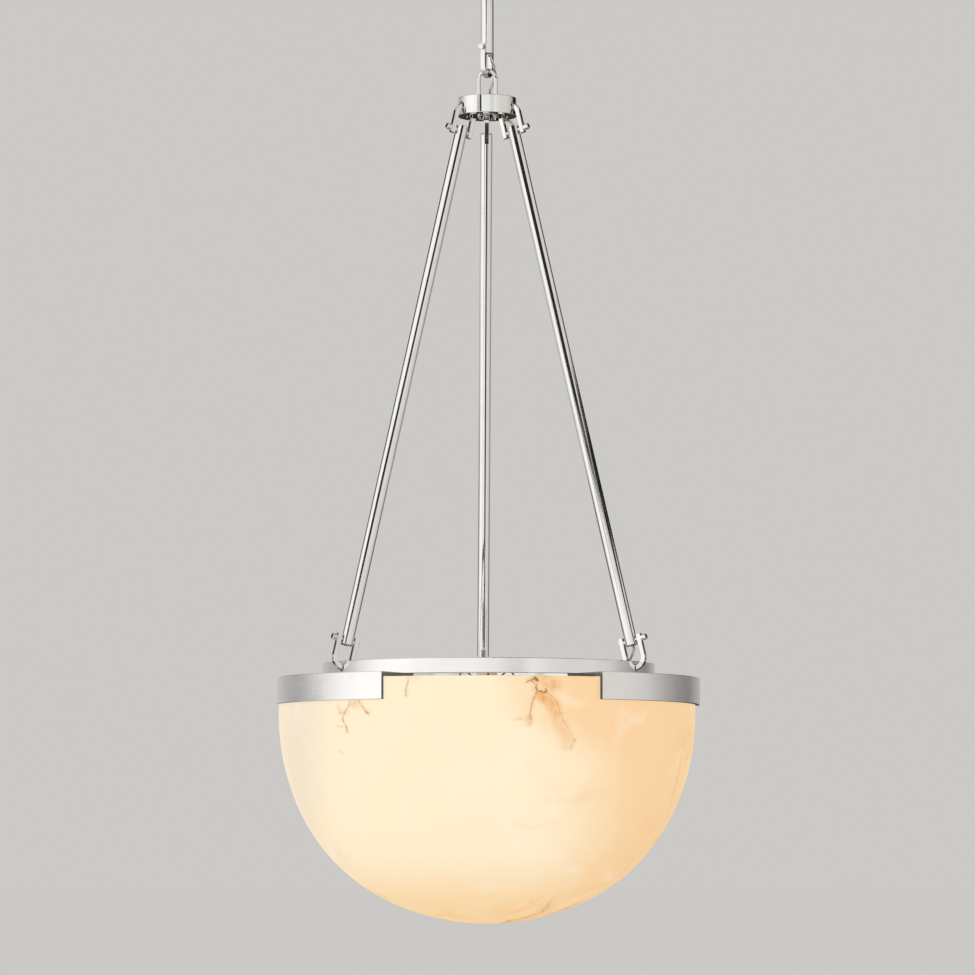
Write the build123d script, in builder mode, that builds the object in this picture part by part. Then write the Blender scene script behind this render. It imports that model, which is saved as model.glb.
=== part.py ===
from build123d import *
import os
from math import atan2, cos, degrees, hypot, pi, radians, sin, sqrt

# All lengths are in millimetres. The ceiling is at level zero and the lamp hangs below it.
# X runs to the viewer's right, Y away from the viewer.

# Ceiling strap, coupling and canopy
strap_end_gap = 4.5
strap_width = 26
strap_thickness = 2.5
strap_corner = 5
slot_spacing = 50
slot_length = 12
slot_width = 5
canopy_radius = 65
canopy_height = 30
canopy_wall = 1.5
canopy_corner = 7
stud_spacing = 92
stud_diameter = 4
cap_nut_radius = 5.5
cap_nut_height = 9
cap_nut_bore_depth = 6
coupling_flange_radius = 15
coupling_flange_thickness = 3
coupling_radius = 11
coupling_bottom = 26
coupling_socket_depth = 12
coupling_chamber_radius = 6.5
coupling_window_width = 9
rivet_offset = 12.9
rivet_diameter = 2.4
rivet_head_diameter = 3.6
rivet_head_height = 1
set_screw_diameter = 3
set_screw_proud = 0.6
collar_radius = 15
collar_height = 6
collar_edge = 1.5
supply_block_length = 30
supply_block_width = 14
supply_block_height = 15
supply_block_offset = 30
supply_block_edge = 1.2
supply_screw_diameter = 3.2
supply_way_count = 3

# Stem
stem_drop = 300
stem_diameter = 16
stem_wall = 1.5

# Bent bar shackles and their pins
bar_thickness = 5.5
bar_width = 6
bar_edge = 0.7
shackle_gap = 18.5
shackle_reach = 20.5
shackle_tail = 5.5
pin_diameter = 5
pin_head_diameter = 7.4
pin_head_length = 6.5
pin_head_edge = 0.9
pin_proud = 0.8
pin_edge_distance = 5.5

# Hub and its loop
loop_bar_diameter = 5
loop_spacing = 22
loop_height = 37
loop_thread_length = 10
nut_width = 9
nut_thickness = 4
hub_radius = 36
hub_height = 22
hub_wall = 9
hub_top_thickness = 4
hub_edge = 0.8
hub_hole_diameter = 10
grommet_flange_radius = 4.2
grommet_flange_thickness = 1
grommet_radius = 3

# Suspension rods
rod_pin_spacing = 640
rod_diameter = 15
rod_wall = 1.5
rod_end_edge = 0.4

# Suspension ring
ring_radius = 201
ring_wall = 5
ring_hole_diameter = 9.5
ring_hole_drop = 8
ring_height = 17
ring_foot_width = 18
ring_foot_thickness = 3
ring_edge = 0.6

# Rim brackets
bracket_sweep = 60
bracket_gap = 0.4
bracket_thickness = 5
bracket_height = 32
bracket_foot_step = 2
bracket_edge = 0.6
bracket_screw_sweep = 36
bracket_screw_inset = 8.5
bracket_screw_diameter = 4
bracket_screw_length = 7
screw_head_diameter = 7.4
screw_head_height = 2.6
screw_head_edge = 0.8

# Bowl, its pads and the screws that hold it
bowl_radius = 250
bowl_wall = 12
bowl_straight = 37.5
bowl_side_radius = 274
bowl_side_turn = 25
bowl_base_radius = 274
bowl_base_turn = 25
bowl_rim_edge = 1.5
pad_thickness = 0.8
pad_width = 10.5
bowl_screw_drop = 13
bowl_screw_sweep = 38
bowl_screw_diameter = 5
bowl_hole_diameter = 6.4
bowl_screw_bite = 3.6
bowl_screw_head_diameter = 9.5
bowl_screw_head_height = 3.4
washer_diameter = 16
washer_thickness = 1.2

# Lamp plate, holders and bulbs
plate_radius = 62
plate_thickness = 3
plate_arm_width = 22
plate_arm_fillet = 14
plate_screw_inset = 4.5
plate_screw_edge = 8.5
plate_screw_spacing = 12
plate_screw_length = 6.5
holder_circle_radius = 38
holder_radius = 17
holder_height = 42
holder_lip_height = 9
holder_lip_step = 1.4
nipple_radius = 5
nipple_bore_radius = 3
nipple_proud = 8
nipple_nut_width = 14
nipple_nut_thickness = 3.5
bulb_cap_radius = 13.2
bulb_cap_length = 26
bulb_cap_gap = 0.4
bulb_globe_radius = 30
bulb_length = 104
bulb_neck_radius = 14.5
bulb_neck_length = 8
terminal_radius = 12
terminal_height = 13
terminal_edge = 1
terminal_cover_height = 3
terminal_cover_edge = 0.8

# Mains cable
cable_diameter = 3
cable_offset = 4.3
cable_entry_offset = 6
cable_join_depth = 3
cable_sleeve_gap = 0.3
lead_diameter = 2.2
terminal_way_height = 6
cable_run_share = 0.45
rod_mouth_step = 3.5

# Clearances
bend_clearance = 0.3
running_clearance = 0.05
open_pivot_clearance = 0.5
fixed_clearance = 0.05
shadow_gap = 0.1
over = 1

# Directions seen from above, in degrees
rod_angles = (90, 210, 330)
rod_names = ("back", "left", "right")
wired_rod = "right"
stem_pin_angle = 247
holder_angles = (30, 150, 270)

# Places that follow from the sizes
strap_length = 2 * (canopy_radius - canopy_wall - strap_end_gap)
stem_end = -stem_drop
stem_radius = stem_diameter / 2
bar_pitch = (shackle_gap + bar_thickness) / 2
bend_inside = shackle_gap / 2
bend_outside = bend_inside + bar_thickness
pin_radius = pin_diameter / 2
cable_radius = cable_diameter / 2

stem_pin_level = stem_end + pin_edge_distance
top_bend_level = stem_pin_level - shackle_reach
loop_bend = loop_spacing / 2
loop_inside = loop_bend - loop_bar_diameter / 2
loop_seat = top_bend_level - bend_inside + bend_clearance
loop_centre_level = loop_seat - sqrt(loop_inside**2 - (bar_width / 2) ** 2)
loop_axis_level = loop_centre_level + loop_bend
hub_top = loop_axis_level + loop_bar_diameter / 2 - loop_height
hub_bottom = hub_top - hub_height
hub_hole_level = hub_top - hub_height / 2
hub_bore = hub_radius - hub_wall


# From the axis of a round hole to the centre of the bend that hangs in it.
def bend_drop(hole_diameter, wall):
    flat = sqrt((hole_diameter / 2) ** 2 - (bar_width / 2) ** 2)
    return flat + sqrt(bend_inside**2 - (wall / 2) ** 2) - bend_clearance


upper_bend_radius = hub_radius - hub_wall / 2
upper_bend_level = hub_hole_level - bend_drop(hub_hole_diameter, hub_wall)
lower_bend_radius = ring_radius - ring_wall / 2
rod_line = rod_pin_spacing + 2 * shackle_reach
rod_run = lower_bend_radius - upper_bend_radius
lower_bend_level = upper_bend_level - sqrt(rod_line**2 - rod_run**2)
rod_tilt = atan2(rod_run, upper_bend_level - lower_bend_level)

ring_inside = ring_radius - ring_wall
foot_inside = ring_inside - ring_foot_width
bracket_inner_radius = foot_inside + bracket_foot_step
bracket_screw_radius = ring_inside - bracket_screw_inset
plate_screw_radius = bracket_inner_radius + plate_screw_inset
ring_hole_level = lower_bend_level - bend_drop(ring_hole_diameter, ring_wall)
ring_top = ring_hole_level + ring_hole_drop
flange_top = ring_top - ring_height
flange_bottom = flange_top - bracket_thickness
rim_level = flange_bottom - pad_thickness
skirt_bottom = flange_top - bracket_height
skirt_inside = bowl_radius + bracket_gap
bracket_radius = skirt_inside + bracket_thickness
bowl_inside = bowl_radius - bowl_wall
bowl_screw_level = rim_level - bowl_screw_drop
plate_bottom = flange_bottom - plate_thickness
plate_arm_reach = plate_screw_radius + plate_screw_edge
holder_bottom = plate_bottom - holder_height


# A point given by its direction from above, its distance from the axis, a step aside and a level.
def spot(angle, radius, aside, level):
    turn = radians(angle)
    return Vector(
        radius * cos(turn) - aside * sin(turn),
        radius * sin(turn) + aside * cos(turn),
        level,
    )


# The frame of a shackle: X runs along its pin to the head, Y from the bend's centre to the pin.
def shackle_frame(angle, radius, level, lean, upward):
    along = spot(angle, cos(lean), 0, sin(lean))
    reach = spot(angle, -sin(lean), 0, cos(lean)) * (1 if upward else -1)
    return Plane(origin=spot(angle, radius, 0, level), x_dir=along, z_dir=along.cross(reach))


def make_shackle(frame):
    leg_end = shackle_reach + shackle_tail
    with BuildPart() as shackle:
        with BuildLine(frame) as route:
            inner_leg = Line((-bar_pitch, leg_end), (-bar_pitch, 0))
            bend = CenterArc((0, 0), bar_pitch, 180, 180)
            Line(bend @ 1, (bar_pitch, leg_end))
        section = Plane(origin=inner_leg @ 0, x_dir=frame.x_dir, z_dir=inner_leg % 0)
        with BuildSketch(section):
            RectangleRounded(bar_thickness, bar_width, bar_edge)
        sweep(path=route.wires()[0])
        pin_place = Plane(origin=frame.from_local_coords((0, shackle_reach, 0)), z_dir=frame.x_dir)
        with BuildSketch(pin_place):
            Circle(pin_radius + fixed_clearance)
        extrude(amount=bend_outside + over, both=True, mode=Mode.SUBTRACT)
    return shackle


# A turned pin: a shank through both legs and a cylinder head outside one of them.
def make_pin(frame):
    head_end = bend_outside + pin_head_length
    head_radius = pin_head_diameter / 2
    with BuildPart() as pin:
        turned = Plane(
            origin=frame.from_local_coords((0, shackle_reach, 0)),
            x_dir=frame.x_dir,
            z_dir=frame.z_dir,
        )
        with BuildSketch(turned):
            with BuildLine():
                Polyline(
                    (-bend_outside - pin_proud, 0),
                    (-bend_outside - pin_proud, pin_radius),
                    (bend_outside, pin_radius),
                    (bend_outside, head_radius),
                    (head_end - pin_head_edge, head_radius),
                )
                RadiusArc(
                    (head_end - pin_head_edge, head_radius),
                    (head_end, head_radius - pin_head_edge),
                    pin_head_edge,
                )
                Polyline(
                    (head_end, head_radius - pin_head_edge),
                    (head_end, 0),
                    (-bend_outside - pin_proud, 0),
                )
            make_face()
        revolve(axis=Axis(turned.origin, frame.x_dir))
    return pin


# A screw with a rounded head; it points along the plane's Z, and its head sits behind the plane.
def make_screw(place, shank_radius, length, head_radius, head_height, edge):
    with BuildPart() as screw:
        with BuildSketch(place):
            Circle(shank_radius)
        extrude(amount=length)
        with BuildSketch(place):
            Circle(head_radius)
        extrude(amount=-head_height)
        crown = screw.faces().sort_by(Axis(place.origin, place.z_dir))[0]
        fillet(crown.edges(), edge)
    return screw


# A hexagon nut whose lower face lies on the plane.
def make_nut(place, width, thickness, bore_radius):
    with BuildPart() as nut:
        with BuildSketch(place):
            RegularPolygon(width / 2, 6, major_radius=False)
            Circle(bore_radius, mode=Mode.SUBTRACT)
        extrude(amount=thickness)
    return nut


# A round cable along hand-set points, straight runs joined by the largest arcs that fit.
def make_cable(points, diameter, name):
    runs = [b - a for a, b in zip(points, points[1:])]
    radii = []
    for before, after in zip(runs, runs[1:]):
        turn = radians(before.get_angle(after))
        shorter = min(before.length, after.length)
        radii.append(cable_run_share * shorter / sin(turn / 2) * cos(turn / 2))
    with BuildPart() as cable:
        with BuildLine() as route:
            FilletPolyline(*points, radius=radii)
        path = route.wires()[0]
        with BuildSketch(Plane(origin=path @ 0, z_dir=path % 0)):
            Circle(diameter / 2)
        sweep(path=path)
    ratio = cable.part.volume / (pi * diameter**2 / 4 * path.length)
    print(f"{name}: length {path.length:.1f}, volume share {ratio:.4f}, radii",
          " ".join(f"{r:.1f}" for r in radii))
    return cable


os.makedirs("parts", exist_ok=True)


def save(piece, name):
    piece.part.label = name
    export_step(piece.part, f"parts/{name}.step")


# Several like pieces that share one node.
def save_group(pieces, name):
    group = Compound(label=name, children=[piece.part for piece in pieces])
    export_step(group, f"parts/{name}.step")


# Ceiling strap: screwed to the ceiling box through its two slots
with BuildPart() as mounting_strap:
    with BuildSketch():
        RectangleRounded(strap_length, strap_width, strap_corner)
        with GridLocations(slot_spacing, 0, 2, 1):
            SlotOverall(slot_length, slot_width, mode=Mode.SUBTRACT)
        with GridLocations(stud_spacing, 0, 2, 1):
            Circle(stud_diameter / 2 + fixed_clearance, mode=Mode.SUBTRACT)
        with GridLocations(2 * rivet_offset, 0, 2, 1):
            Circle(rivet_diameter / 2 + fixed_clearance, mode=Mode.SUBTRACT)
    extrude(amount=-strap_thickness)
save(mounting_strap, "mounting_strap")

# Coupling: flange under the strap, socket for the stem, and a window that lets the cable out
chamber_top = -strap_thickness - coupling_flange_thickness
stem_top = -coupling_bottom + coupling_socket_depth
with BuildPart() as stem_coupling:
    with BuildSketch(Plane.XY.offset(-strap_thickness)):
        Circle(coupling_flange_radius)
        with GridLocations(2 * rivet_offset, 0, 2, 1):
            Circle(rivet_diameter / 2 + fixed_clearance, mode=Mode.SUBTRACT)
    extrude(amount=-coupling_flange_thickness)
    with BuildSketch(Plane.XY.offset(chamber_top)):
        Circle(coupling_radius)
    extrude(amount=-(coupling_bottom + chamber_top))
    with BuildSketch(Plane.XY.offset(-coupling_bottom)):
        Circle(stem_radius + fixed_clearance)
    extrude(amount=coupling_socket_depth, mode=Mode.SUBTRACT)
    with BuildSketch(Plane.XY.offset(stem_top)):
        Circle(coupling_chamber_radius)
    extrude(amount=chamber_top - stem_top, mode=Mode.SUBTRACT)
    with BuildSketch(Plane.XY.offset(stem_top)):
        with Locations((0, coupling_radius)):
            Rectangle(coupling_window_width, 2 * coupling_radius)
    extrude(amount=chamber_top - stem_top, mode=Mode.SUBTRACT)
    grip_level = coupling_socket_depth / 2 - coupling_bottom
    with BuildSketch(Plane(origin=(0, 0, grip_level), z_dir=(1, 0, 0))):
        Circle(set_screw_diameter / 2 + fixed_clearance)
    extrude(amount=coupling_radius + over, both=True, mode=Mode.SUBTRACT)
save(stem_coupling, "stem_coupling")

# Two rivets hold the coupling under the strap, and two set screws grip the stem in it
coupling_rivets = []
stem_set_screws = []
for side in (-1, 1):
    with BuildPart() as rivet:
        with BuildSketch(Plane.XY):
            with Locations((side * rivet_offset, 0)):
                Circle(rivet_diameter / 2)
        extrude(amount=chamber_top)
        with BuildSketch(Plane.XY.offset(chamber_top)):
            with Locations((side * rivet_offset, 0)):
                Circle(rivet_head_diameter / 2)
        extrude(amount=-rivet_head_height)
    coupling_rivets.append(rivet)
    with BuildPart() as set_screw:
        grip = Plane(origin=(0, 0, grip_level), z_dir=(side, 0, 0))
        with BuildSketch(grip.offset(stem_radius + fixed_clearance)):
            Circle(set_screw_diameter / 2)
        extrude(amount=coupling_radius + set_screw_proud - stem_radius - fixed_clearance)
    stem_set_screws.append(set_screw)
save_group(coupling_rivets, "coupling_rivets")
save_group(stem_set_screws, "stem_set_screws")

# Canopy: a shallow spun cup whose open side lies against the ceiling
with BuildPart() as canopy:
    with BuildSketch(Plane.XZ):
        with BuildLine():
            FilletPolyline(
                (0, -canopy_height),
                (canopy_radius, -canopy_height),
                (canopy_radius, 0),
                radius=canopy_corner,
            )
            Polyline(
                (canopy_radius, 0),
                (canopy_radius - canopy_wall, 0),
                (canopy_radius - canopy_wall, -canopy_height / 2),
            )
            FilletPolyline(
                (canopy_radius - canopy_wall, -canopy_height / 2),
                (canopy_radius - canopy_wall, canopy_wall - canopy_height),
                (0, canopy_wall - canopy_height),
                radius=canopy_corner - canopy_wall,
            )
            Line((0, canopy_wall - canopy_height), (0, -canopy_height))
        make_face()
    revolve(axis=Axis.Z)
    with BuildSketch(Plane.XY.offset(-canopy_height)):
        Circle(stem_radius + running_clearance + fixed_clearance)
        with GridLocations(stud_spacing, 0, 2, 1):
            Circle(stud_diameter / 2 + running_clearance + fixed_clearance)
    extrude(amount=canopy_wall + over, both=True, mode=Mode.SUBTRACT)
save(canopy, "canopy")

# Two threaded studs hang from the strap and carry the canopy on cap nuts
canopy_studs = []
canopy_nuts = []
for side in (-1, 1):
    place = side * stud_spacing / 2
    with BuildPart() as stud:
        with BuildSketch(Plane.XY):
            with Locations((place, 0)):
                Circle(stud_diameter / 2)
        extrude(amount=-(canopy_height + cap_nut_bore_depth - over))
    canopy_studs.append(stud)
    with BuildPart() as nut:
        with BuildSketch(Plane.XY.offset(-canopy_height)):
            with Locations((place, 0)):
                Circle(cap_nut_radius)
        extrude(amount=-cap_nut_height)
        crown = nut.faces().sort_by(Axis.Z)[0]
        fillet(crown.edges(), cap_nut_radius / 2)
        with BuildSketch(Plane.XY.offset(-canopy_height)):
            with Locations((place, 0)):
                Circle(stud_diameter / 2 + fixed_clearance)
        extrude(amount=-cap_nut_bore_depth, mode=Mode.SUBTRACT)
    canopy_nuts.append(nut)
save_group(canopy_studs, "canopy_studs")
save_group(canopy_nuts, "canopy_nuts")

# Collar that closes the canopy's hole round the stem
with BuildPart() as stem_collar:
    with BuildSketch(Plane.XY.offset(-canopy_height)):
        Circle(collar_radius)
        Circle(stem_radius + fixed_clearance, mode=Mode.SUBTRACT)
    extrude(amount=-collar_height)
    outer_rim = stem_collar.faces().sort_by(Axis.Z)[0].edges().sort_by(SortBy.LENGTH)[-1]
    fillet(outer_rim, collar_edge)
save(stem_collar, "stem_collar")

# Stem tube, cross drilled near its open end for the shackle's pin
top_frame = shackle_frame(stem_pin_angle, 0, top_bend_level, 0, True)
with BuildPart() as stem_tube:
    with BuildSketch(Plane.XY.offset(stem_end)):
        Circle(stem_radius)
        Circle(stem_radius - stem_wall, mode=Mode.SUBTRACT)
    extrude(amount=stem_top - stem_end)
    pin_place = Plane(origin=(0, 0, stem_pin_level), z_dir=top_frame.x_dir)
    with BuildSketch(pin_place):
        Circle(pin_radius + running_clearance)
    extrude(amount=stem_radius + over, both=True, mode=Mode.SUBTRACT)
save(stem_tube, "stem_tube")

# Supply terminal on the canopy's floor, with a row of screw ways
supply_bottom = canopy_wall - canopy_height
with BuildPart() as supply_terminal:
    with BuildSketch(Plane.XY.offset(supply_bottom)):
        with Locations((0, supply_block_offset + supply_block_width / 2)):
            RectangleRounded(supply_block_length, supply_block_width, supply_block_edge)
    extrude(amount=supply_block_height)
    with BuildSketch(Plane.XY.offset(supply_bottom + supply_block_height)):
        with Locations((0, supply_block_offset + supply_block_width / 2)):
            with GridLocations(supply_block_length / (supply_way_count + 1), 0, supply_way_count, 1):
                Circle(supply_screw_diameter / 2)
    extrude(amount=-supply_screw_diameter, mode=Mode.SUBTRACT)
save(supply_terminal, "supply_terminal")

# Top link: a shackle that hangs from the stem on its pin
save(make_shackle(top_frame), "top_shackle")
save(make_pin(top_frame), "top_pin")

# Hub: a thick ring closed on top, with a radial hole for each rod's shackle
loop_angle = stem_pin_angle + 90
loop_legs = [spot(loop_angle, loop_bend, 0, 0), spot(loop_angle, -loop_bend, 0, 0)]
cable_entry = spot(stem_pin_angle, -cable_entry_offset, 0, 0)
with BuildPart() as hub_body:
    with BuildSketch(Plane.XZ):
        with BuildLine():
            Polyline(
                (0, hub_top),
                (hub_radius, hub_top),
                (hub_radius, hub_bottom),
                (hub_bore, hub_bottom),
                (hub_bore, hub_top - hub_top_thickness),
                (0, hub_top - hub_top_thickness),
                close=True,
            )
        make_face()
    revolve(axis=Axis.Z)
    turned_edges = hub_body.edges().filter_by(GeomType.CIRCLE)
    fillet(turned_edges.filter_by(lambda e: e.radius > hub_bore + bar_edge), hub_edge)
    with BuildSketch(Plane.XY.offset(hub_top)):
        with Locations(*[(leg.X, leg.Y) for leg in loop_legs]):
            Circle(loop_bar_diameter / 2 + fixed_clearance)
        with Locations((cable_entry.X, cable_entry.Y)):
            Circle(grommet_radius + fixed_clearance)
    extrude(amount=-(hub_top_thickness + over), mode=Mode.SUBTRACT)
    for angle in rod_angles:
        bore_place = Plane(origin=(0, 0, hub_hole_level), z_dir=spot(angle, 1, 0, 0))
        with BuildSketch(bore_place.offset(hub_bore - over)):
            Circle(hub_hole_diameter / 2)
        extrude(amount=hub_wall + 2 * over, mode=Mode.SUBTRACT)
save(hub_body, "hub_body")

# Loop of round bar through the hub's top, held by two nuts underneath
with BuildPart() as hub_loop:
    loop_end = hub_top - loop_thread_length
    loop_plane = Plane(
        origin=(0, 0, loop_centre_level),
        x_dir=spot(loop_angle, 1, 0, 0),
        z_dir=spot(loop_angle, 0, -1, 0),
    )
    foot = loop_end - loop_centre_level
    with BuildLine(loop_plane) as route:
        first_leg = Line((loop_bend, foot), (loop_bend, 0))
        arch = CenterArc((0, 0), loop_bend, 0, 180)
        Line(arch @ 1, (-loop_bend, foot))
    with BuildSketch(Plane(origin=first_leg @ 0, z_dir=first_leg % 0)):
        Circle(loop_bar_diameter / 2)
    sweep(path=route.wires()[0])
save(hub_loop, "hub_loop")

nut_level = hub_top - hub_top_thickness - nut_thickness
nut_bore = loop_bar_diameter / 2 + fixed_clearance
loop_nuts = [
    make_nut(Plane(origin=(leg.X, leg.Y, nut_level)), nut_width, nut_thickness, nut_bore)
    for leg in loop_legs
]
save_group(loop_nuts, "loop_nuts")

# Grommet that lines the cable's hole in the hub
with BuildPart() as hub_grommet:
    with BuildSketch(Plane.XY.offset(hub_top)):
        with Locations((cable_entry.X, cable_entry.Y)):
            Circle(grommet_flange_radius)
    extrude(amount=grommet_flange_thickness)
    with BuildSketch(Plane.XY.offset(hub_top)):
        with Locations((cable_entry.X, cable_entry.Y)):
            Circle(grommet_radius)
    extrude(amount=-hub_top_thickness)
    with BuildSketch(Plane.XY.offset(hub_top + grommet_flange_thickness)):
        with Locations((cable_entry.X, cable_entry.Y)):
            Circle(cable_radius + cable_sleeve_gap)
    extrude(amount=-(hub_top_thickness + grommet_flange_thickness), mode=Mode.SUBTRACT)
save(hub_grommet, "hub_grommet")

# Rods with their shackles and pins, one set in each of three directions
rod_radius = rod_diameter / 2
rod_length = rod_pin_spacing + 2 * pin_edge_distance
for angle, name in zip(rod_angles, rod_names):
    upper = shackle_frame(angle, upper_bend_radius, upper_bend_level, rod_tilt, False)
    lower = shackle_frame(angle, lower_bend_radius, lower_bend_level, rod_tilt, True)
    save(make_shackle(upper), f"upper_shackle_{name}")
    save(make_pin(upper), f"upper_pin_{name}")
    save(make_shackle(lower), f"lower_shackle_{name}")
    save(make_pin(lower), f"lower_pin_{name}")
    rod_start = upper.from_local_coords((0, shackle_reach - pin_edge_distance, 0))
    with BuildPart() as rod:
        with BuildSketch(Plane(origin=rod_start, x_dir=upper.x_dir, z_dir=upper.y_dir)):
            Circle(rod_radius)
            Circle(rod_radius - rod_wall, mode=Mode.SUBTRACT)
        extrude(amount=rod_length)
        chamfer(rod.edges().filter_by(GeomType.CIRCLE), rod_end_edge)
        for frame, clearance in ((upper, running_clearance), (lower, open_pivot_clearance)):
            pin_centre = frame.from_local_coords((0, shackle_reach, 0))
            with BuildSketch(Plane(origin=pin_centre, z_dir=frame.x_dir)):
                Circle(pin_radius + clearance)
            extrude(amount=rod_radius + over, both=True, mode=Mode.SUBTRACT)
    save(rod, f"rod_{name}")

# Suspension ring: an upright band with an inward foot, drilled for the lower shackles
foot_top = flange_top + ring_foot_thickness
bracket_holes = [
    spot(angle + side * bracket_screw_sweep / 2, bracket_screw_radius, 0, foot_top)
    for angle in rod_angles
    for side in (-1, 1)
]
with BuildPart() as suspension_ring:
    with BuildSketch(Plane.XZ):
        with BuildLine():
            Polyline(
                (foot_inside, flange_top),
                (ring_radius, flange_top),
                (ring_radius, ring_top),
                (ring_inside, ring_top),
                (ring_inside, foot_top),
                (foot_inside, foot_top),
                close=True,
            )
        make_face()
    revolve(axis=Axis.Z)
    top_rims = suspension_ring.faces().sort_by(Axis.Z)[-1].edges()
    fillet(top_rims, ring_edge)
    for angle in rod_angles:
        bore_place = Plane(origin=(0, 0, ring_hole_level), z_dir=spot(angle, 1, 0, 0))
        with BuildSketch(bore_place.offset(foot_inside - over)):
            Circle(ring_hole_diameter / 2)
        extrude(amount=ring_radius - foot_inside + 2 * over, mode=Mode.SUBTRACT)
    with BuildSketch(Plane.XY.offset(foot_top)):
        with Locations(*[(hole.X, hole.Y) for hole in bracket_holes]):
            Circle(bracket_screw_diameter / 2 + fixed_clearance)
    extrude(amount=-(ring_foot_thickness + over), mode=Mode.SUBTRACT)
save(suspension_ring, "suspension_ring")

# Rim brackets: a flange over the bowl's rim with a skirt down its outside
for angle, name in zip(rod_angles, rod_names):
    start = spot(angle - bracket_sweep / 2, 1, 0, 0)
    with BuildPart() as rim_bracket:
        with BuildSketch(Plane(origin=(0, 0, 0), x_dir=start, z_dir=start.cross(Vector(0, 0, 1)))):
            with BuildLine():
                Polyline(
                    (bracket_inner_radius, flange_top),
                    (bracket_radius, flange_top),
                    (bracket_radius, skirt_bottom),
                    (skirt_inside, skirt_bottom),
                    (skirt_inside, flange_bottom),
                    (bracket_inner_radius, flange_bottom),
                    close=True,
                )
            make_face()
        revolve(axis=Axis.Z, revolution_arc=bracket_sweep)
        outer_edges = rim_bracket.edges().filter_by(
            lambda e: e.geom_type == GeomType.CIRCLE and e.radius > bracket_radius - over
        )
        fillet(outer_edges, bracket_edge)
        with BuildSketch(Plane.XY.offset(flange_top)):
            for side in (-1, 1):
                hole = spot(angle + side * bracket_screw_sweep / 2, bracket_screw_radius, 0, 0)
                with Locations((hole.X, hole.Y)):
                    Circle(bracket_screw_diameter / 2 + fixed_clearance)
                arm_hole = spot(angle, plate_screw_radius, side * plate_screw_spacing / 2, 0)
                with Locations((arm_hole.X, arm_hole.Y)):
                    Circle(bracket_screw_diameter / 2 + fixed_clearance)
        extrude(amount=-(bracket_thickness + over), mode=Mode.SUBTRACT)
        for side in (-1, 1):
            inward = Plane(
                origin=(0, 0, bowl_screw_level),
                z_dir=spot(angle + side * bowl_screw_sweep / 2, 1, 0, 0),
            )
            with BuildSketch(inward.offset(skirt_inside - over)):
                Circle(bowl_screw_diameter / 2 + fixed_clearance)
            extrude(amount=over + bowl_screw_bite, mode=Mode.SUBTRACT)
    save(rim_bracket, f"rim_bracket_{name}")

# Screws from the ring's foot down into the flanges
bracket_screws = [
    make_screw(
        Plane(origin=hole, z_dir=(0, 0, -1)),
        bracket_screw_diameter / 2,
        bracket_screw_length,
        screw_head_diameter / 2,
        screw_head_height,
        screw_head_edge,
    )
    for hole in bracket_holes
]
save_group(bracket_screws, "bracket_screws")

# Thin pads between the flanges and the bowl's rim
rim_pads = []
for angle in rod_angles:
    start = spot(angle - bracket_sweep / 2, 1, 0, 0)
    with BuildPart() as pad:
        with BuildSketch(Plane(origin=(0, 0, 0), x_dir=start, z_dir=start.cross(Vector(0, 0, 1)))):
            with BuildLine():
                Polyline(
                    (bowl_inside + shadow_gap, flange_bottom),
                    (bowl_inside + shadow_gap + pad_width, flange_bottom),
                    (bowl_inside + shadow_gap + pad_width, rim_level),
                    (bowl_inside + shadow_gap, rim_level),
                    close=True,
                )
            make_face()
        revolve(axis=Axis.Z, revolution_arc=bracket_sweep)
    rim_pads.append(pad)
save_group(rim_pads, "rim_pads")

# Bowl: a straight rim that runs into three tangent arcs, the same wall all over
equator = rim_level - bowl_straight
side_end = bowl_side_turn
base_start = 90 - bowl_base_turn
bowl_shoulder_radius = (
    bowl_radius
    - bowl_side_radius * (1 - cos(radians(side_end)))
    - bowl_base_radius * cos(radians(base_start))
) / (cos(radians(side_end)) - cos(radians(base_start)))
side_centre = Vector(bowl_radius - bowl_side_radius, equator)
side_step = bowl_side_radius - bowl_shoulder_radius
shoulder_centre = side_centre + Vector(cos(radians(side_end)), -sin(radians(side_end))) * side_step
base_step = bowl_shoulder_radius - bowl_base_radius
base_centre = (
    shoulder_centre + Vector(cos(radians(base_start)), -sin(radians(base_start))) * base_step
)


def bowl_curve(inset):
    side = CenterArc(side_centre, bowl_side_radius - inset, 0, -side_end)
    shoulder = CenterArc(
        shoulder_centre, bowl_shoulder_radius - inset, -side_end, side_end - base_start
    )
    base = CenterArc(base_centre, bowl_base_radius - inset, -base_start, base_start - 90)
    return side, shoulder, base


with BuildPart() as bowl:
    with BuildSketch(Plane.XZ):
        with BuildLine():
            outer = bowl_curve(0)
            inner = bowl_curve(bowl_wall)
            Line((bowl_radius, rim_level), outer[0] @ 0)
            Line((bowl_inside, rim_level), inner[0] @ 0)
            Line((bowl_inside, rim_level), (bowl_radius, rim_level))
            Line(outer[2] @ 1, inner[2] @ 1)
        make_face()
    revolve(axis=Axis.Z)
    rims = bowl.faces().sort_by(Axis.Z)[-1].edges()
    fillet(rims, bowl_rim_edge)
    for angle in rod_angles:
        for side in (-1, 1):
            outward = Plane(
                origin=(0, 0, bowl_screw_level),
                z_dir=spot(angle + side * bowl_screw_sweep / 2, 1, 0, 0),
            )
            with BuildSketch(outward.offset(bowl_inside - over)):
                Circle(bowl_hole_diameter / 2)
            extrude(amount=bowl_wall + 2 * over, mode=Mode.SUBTRACT)
save(bowl, "bowl")
bowl_bottom = base_centre.Y - bowl_base_radius

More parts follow.
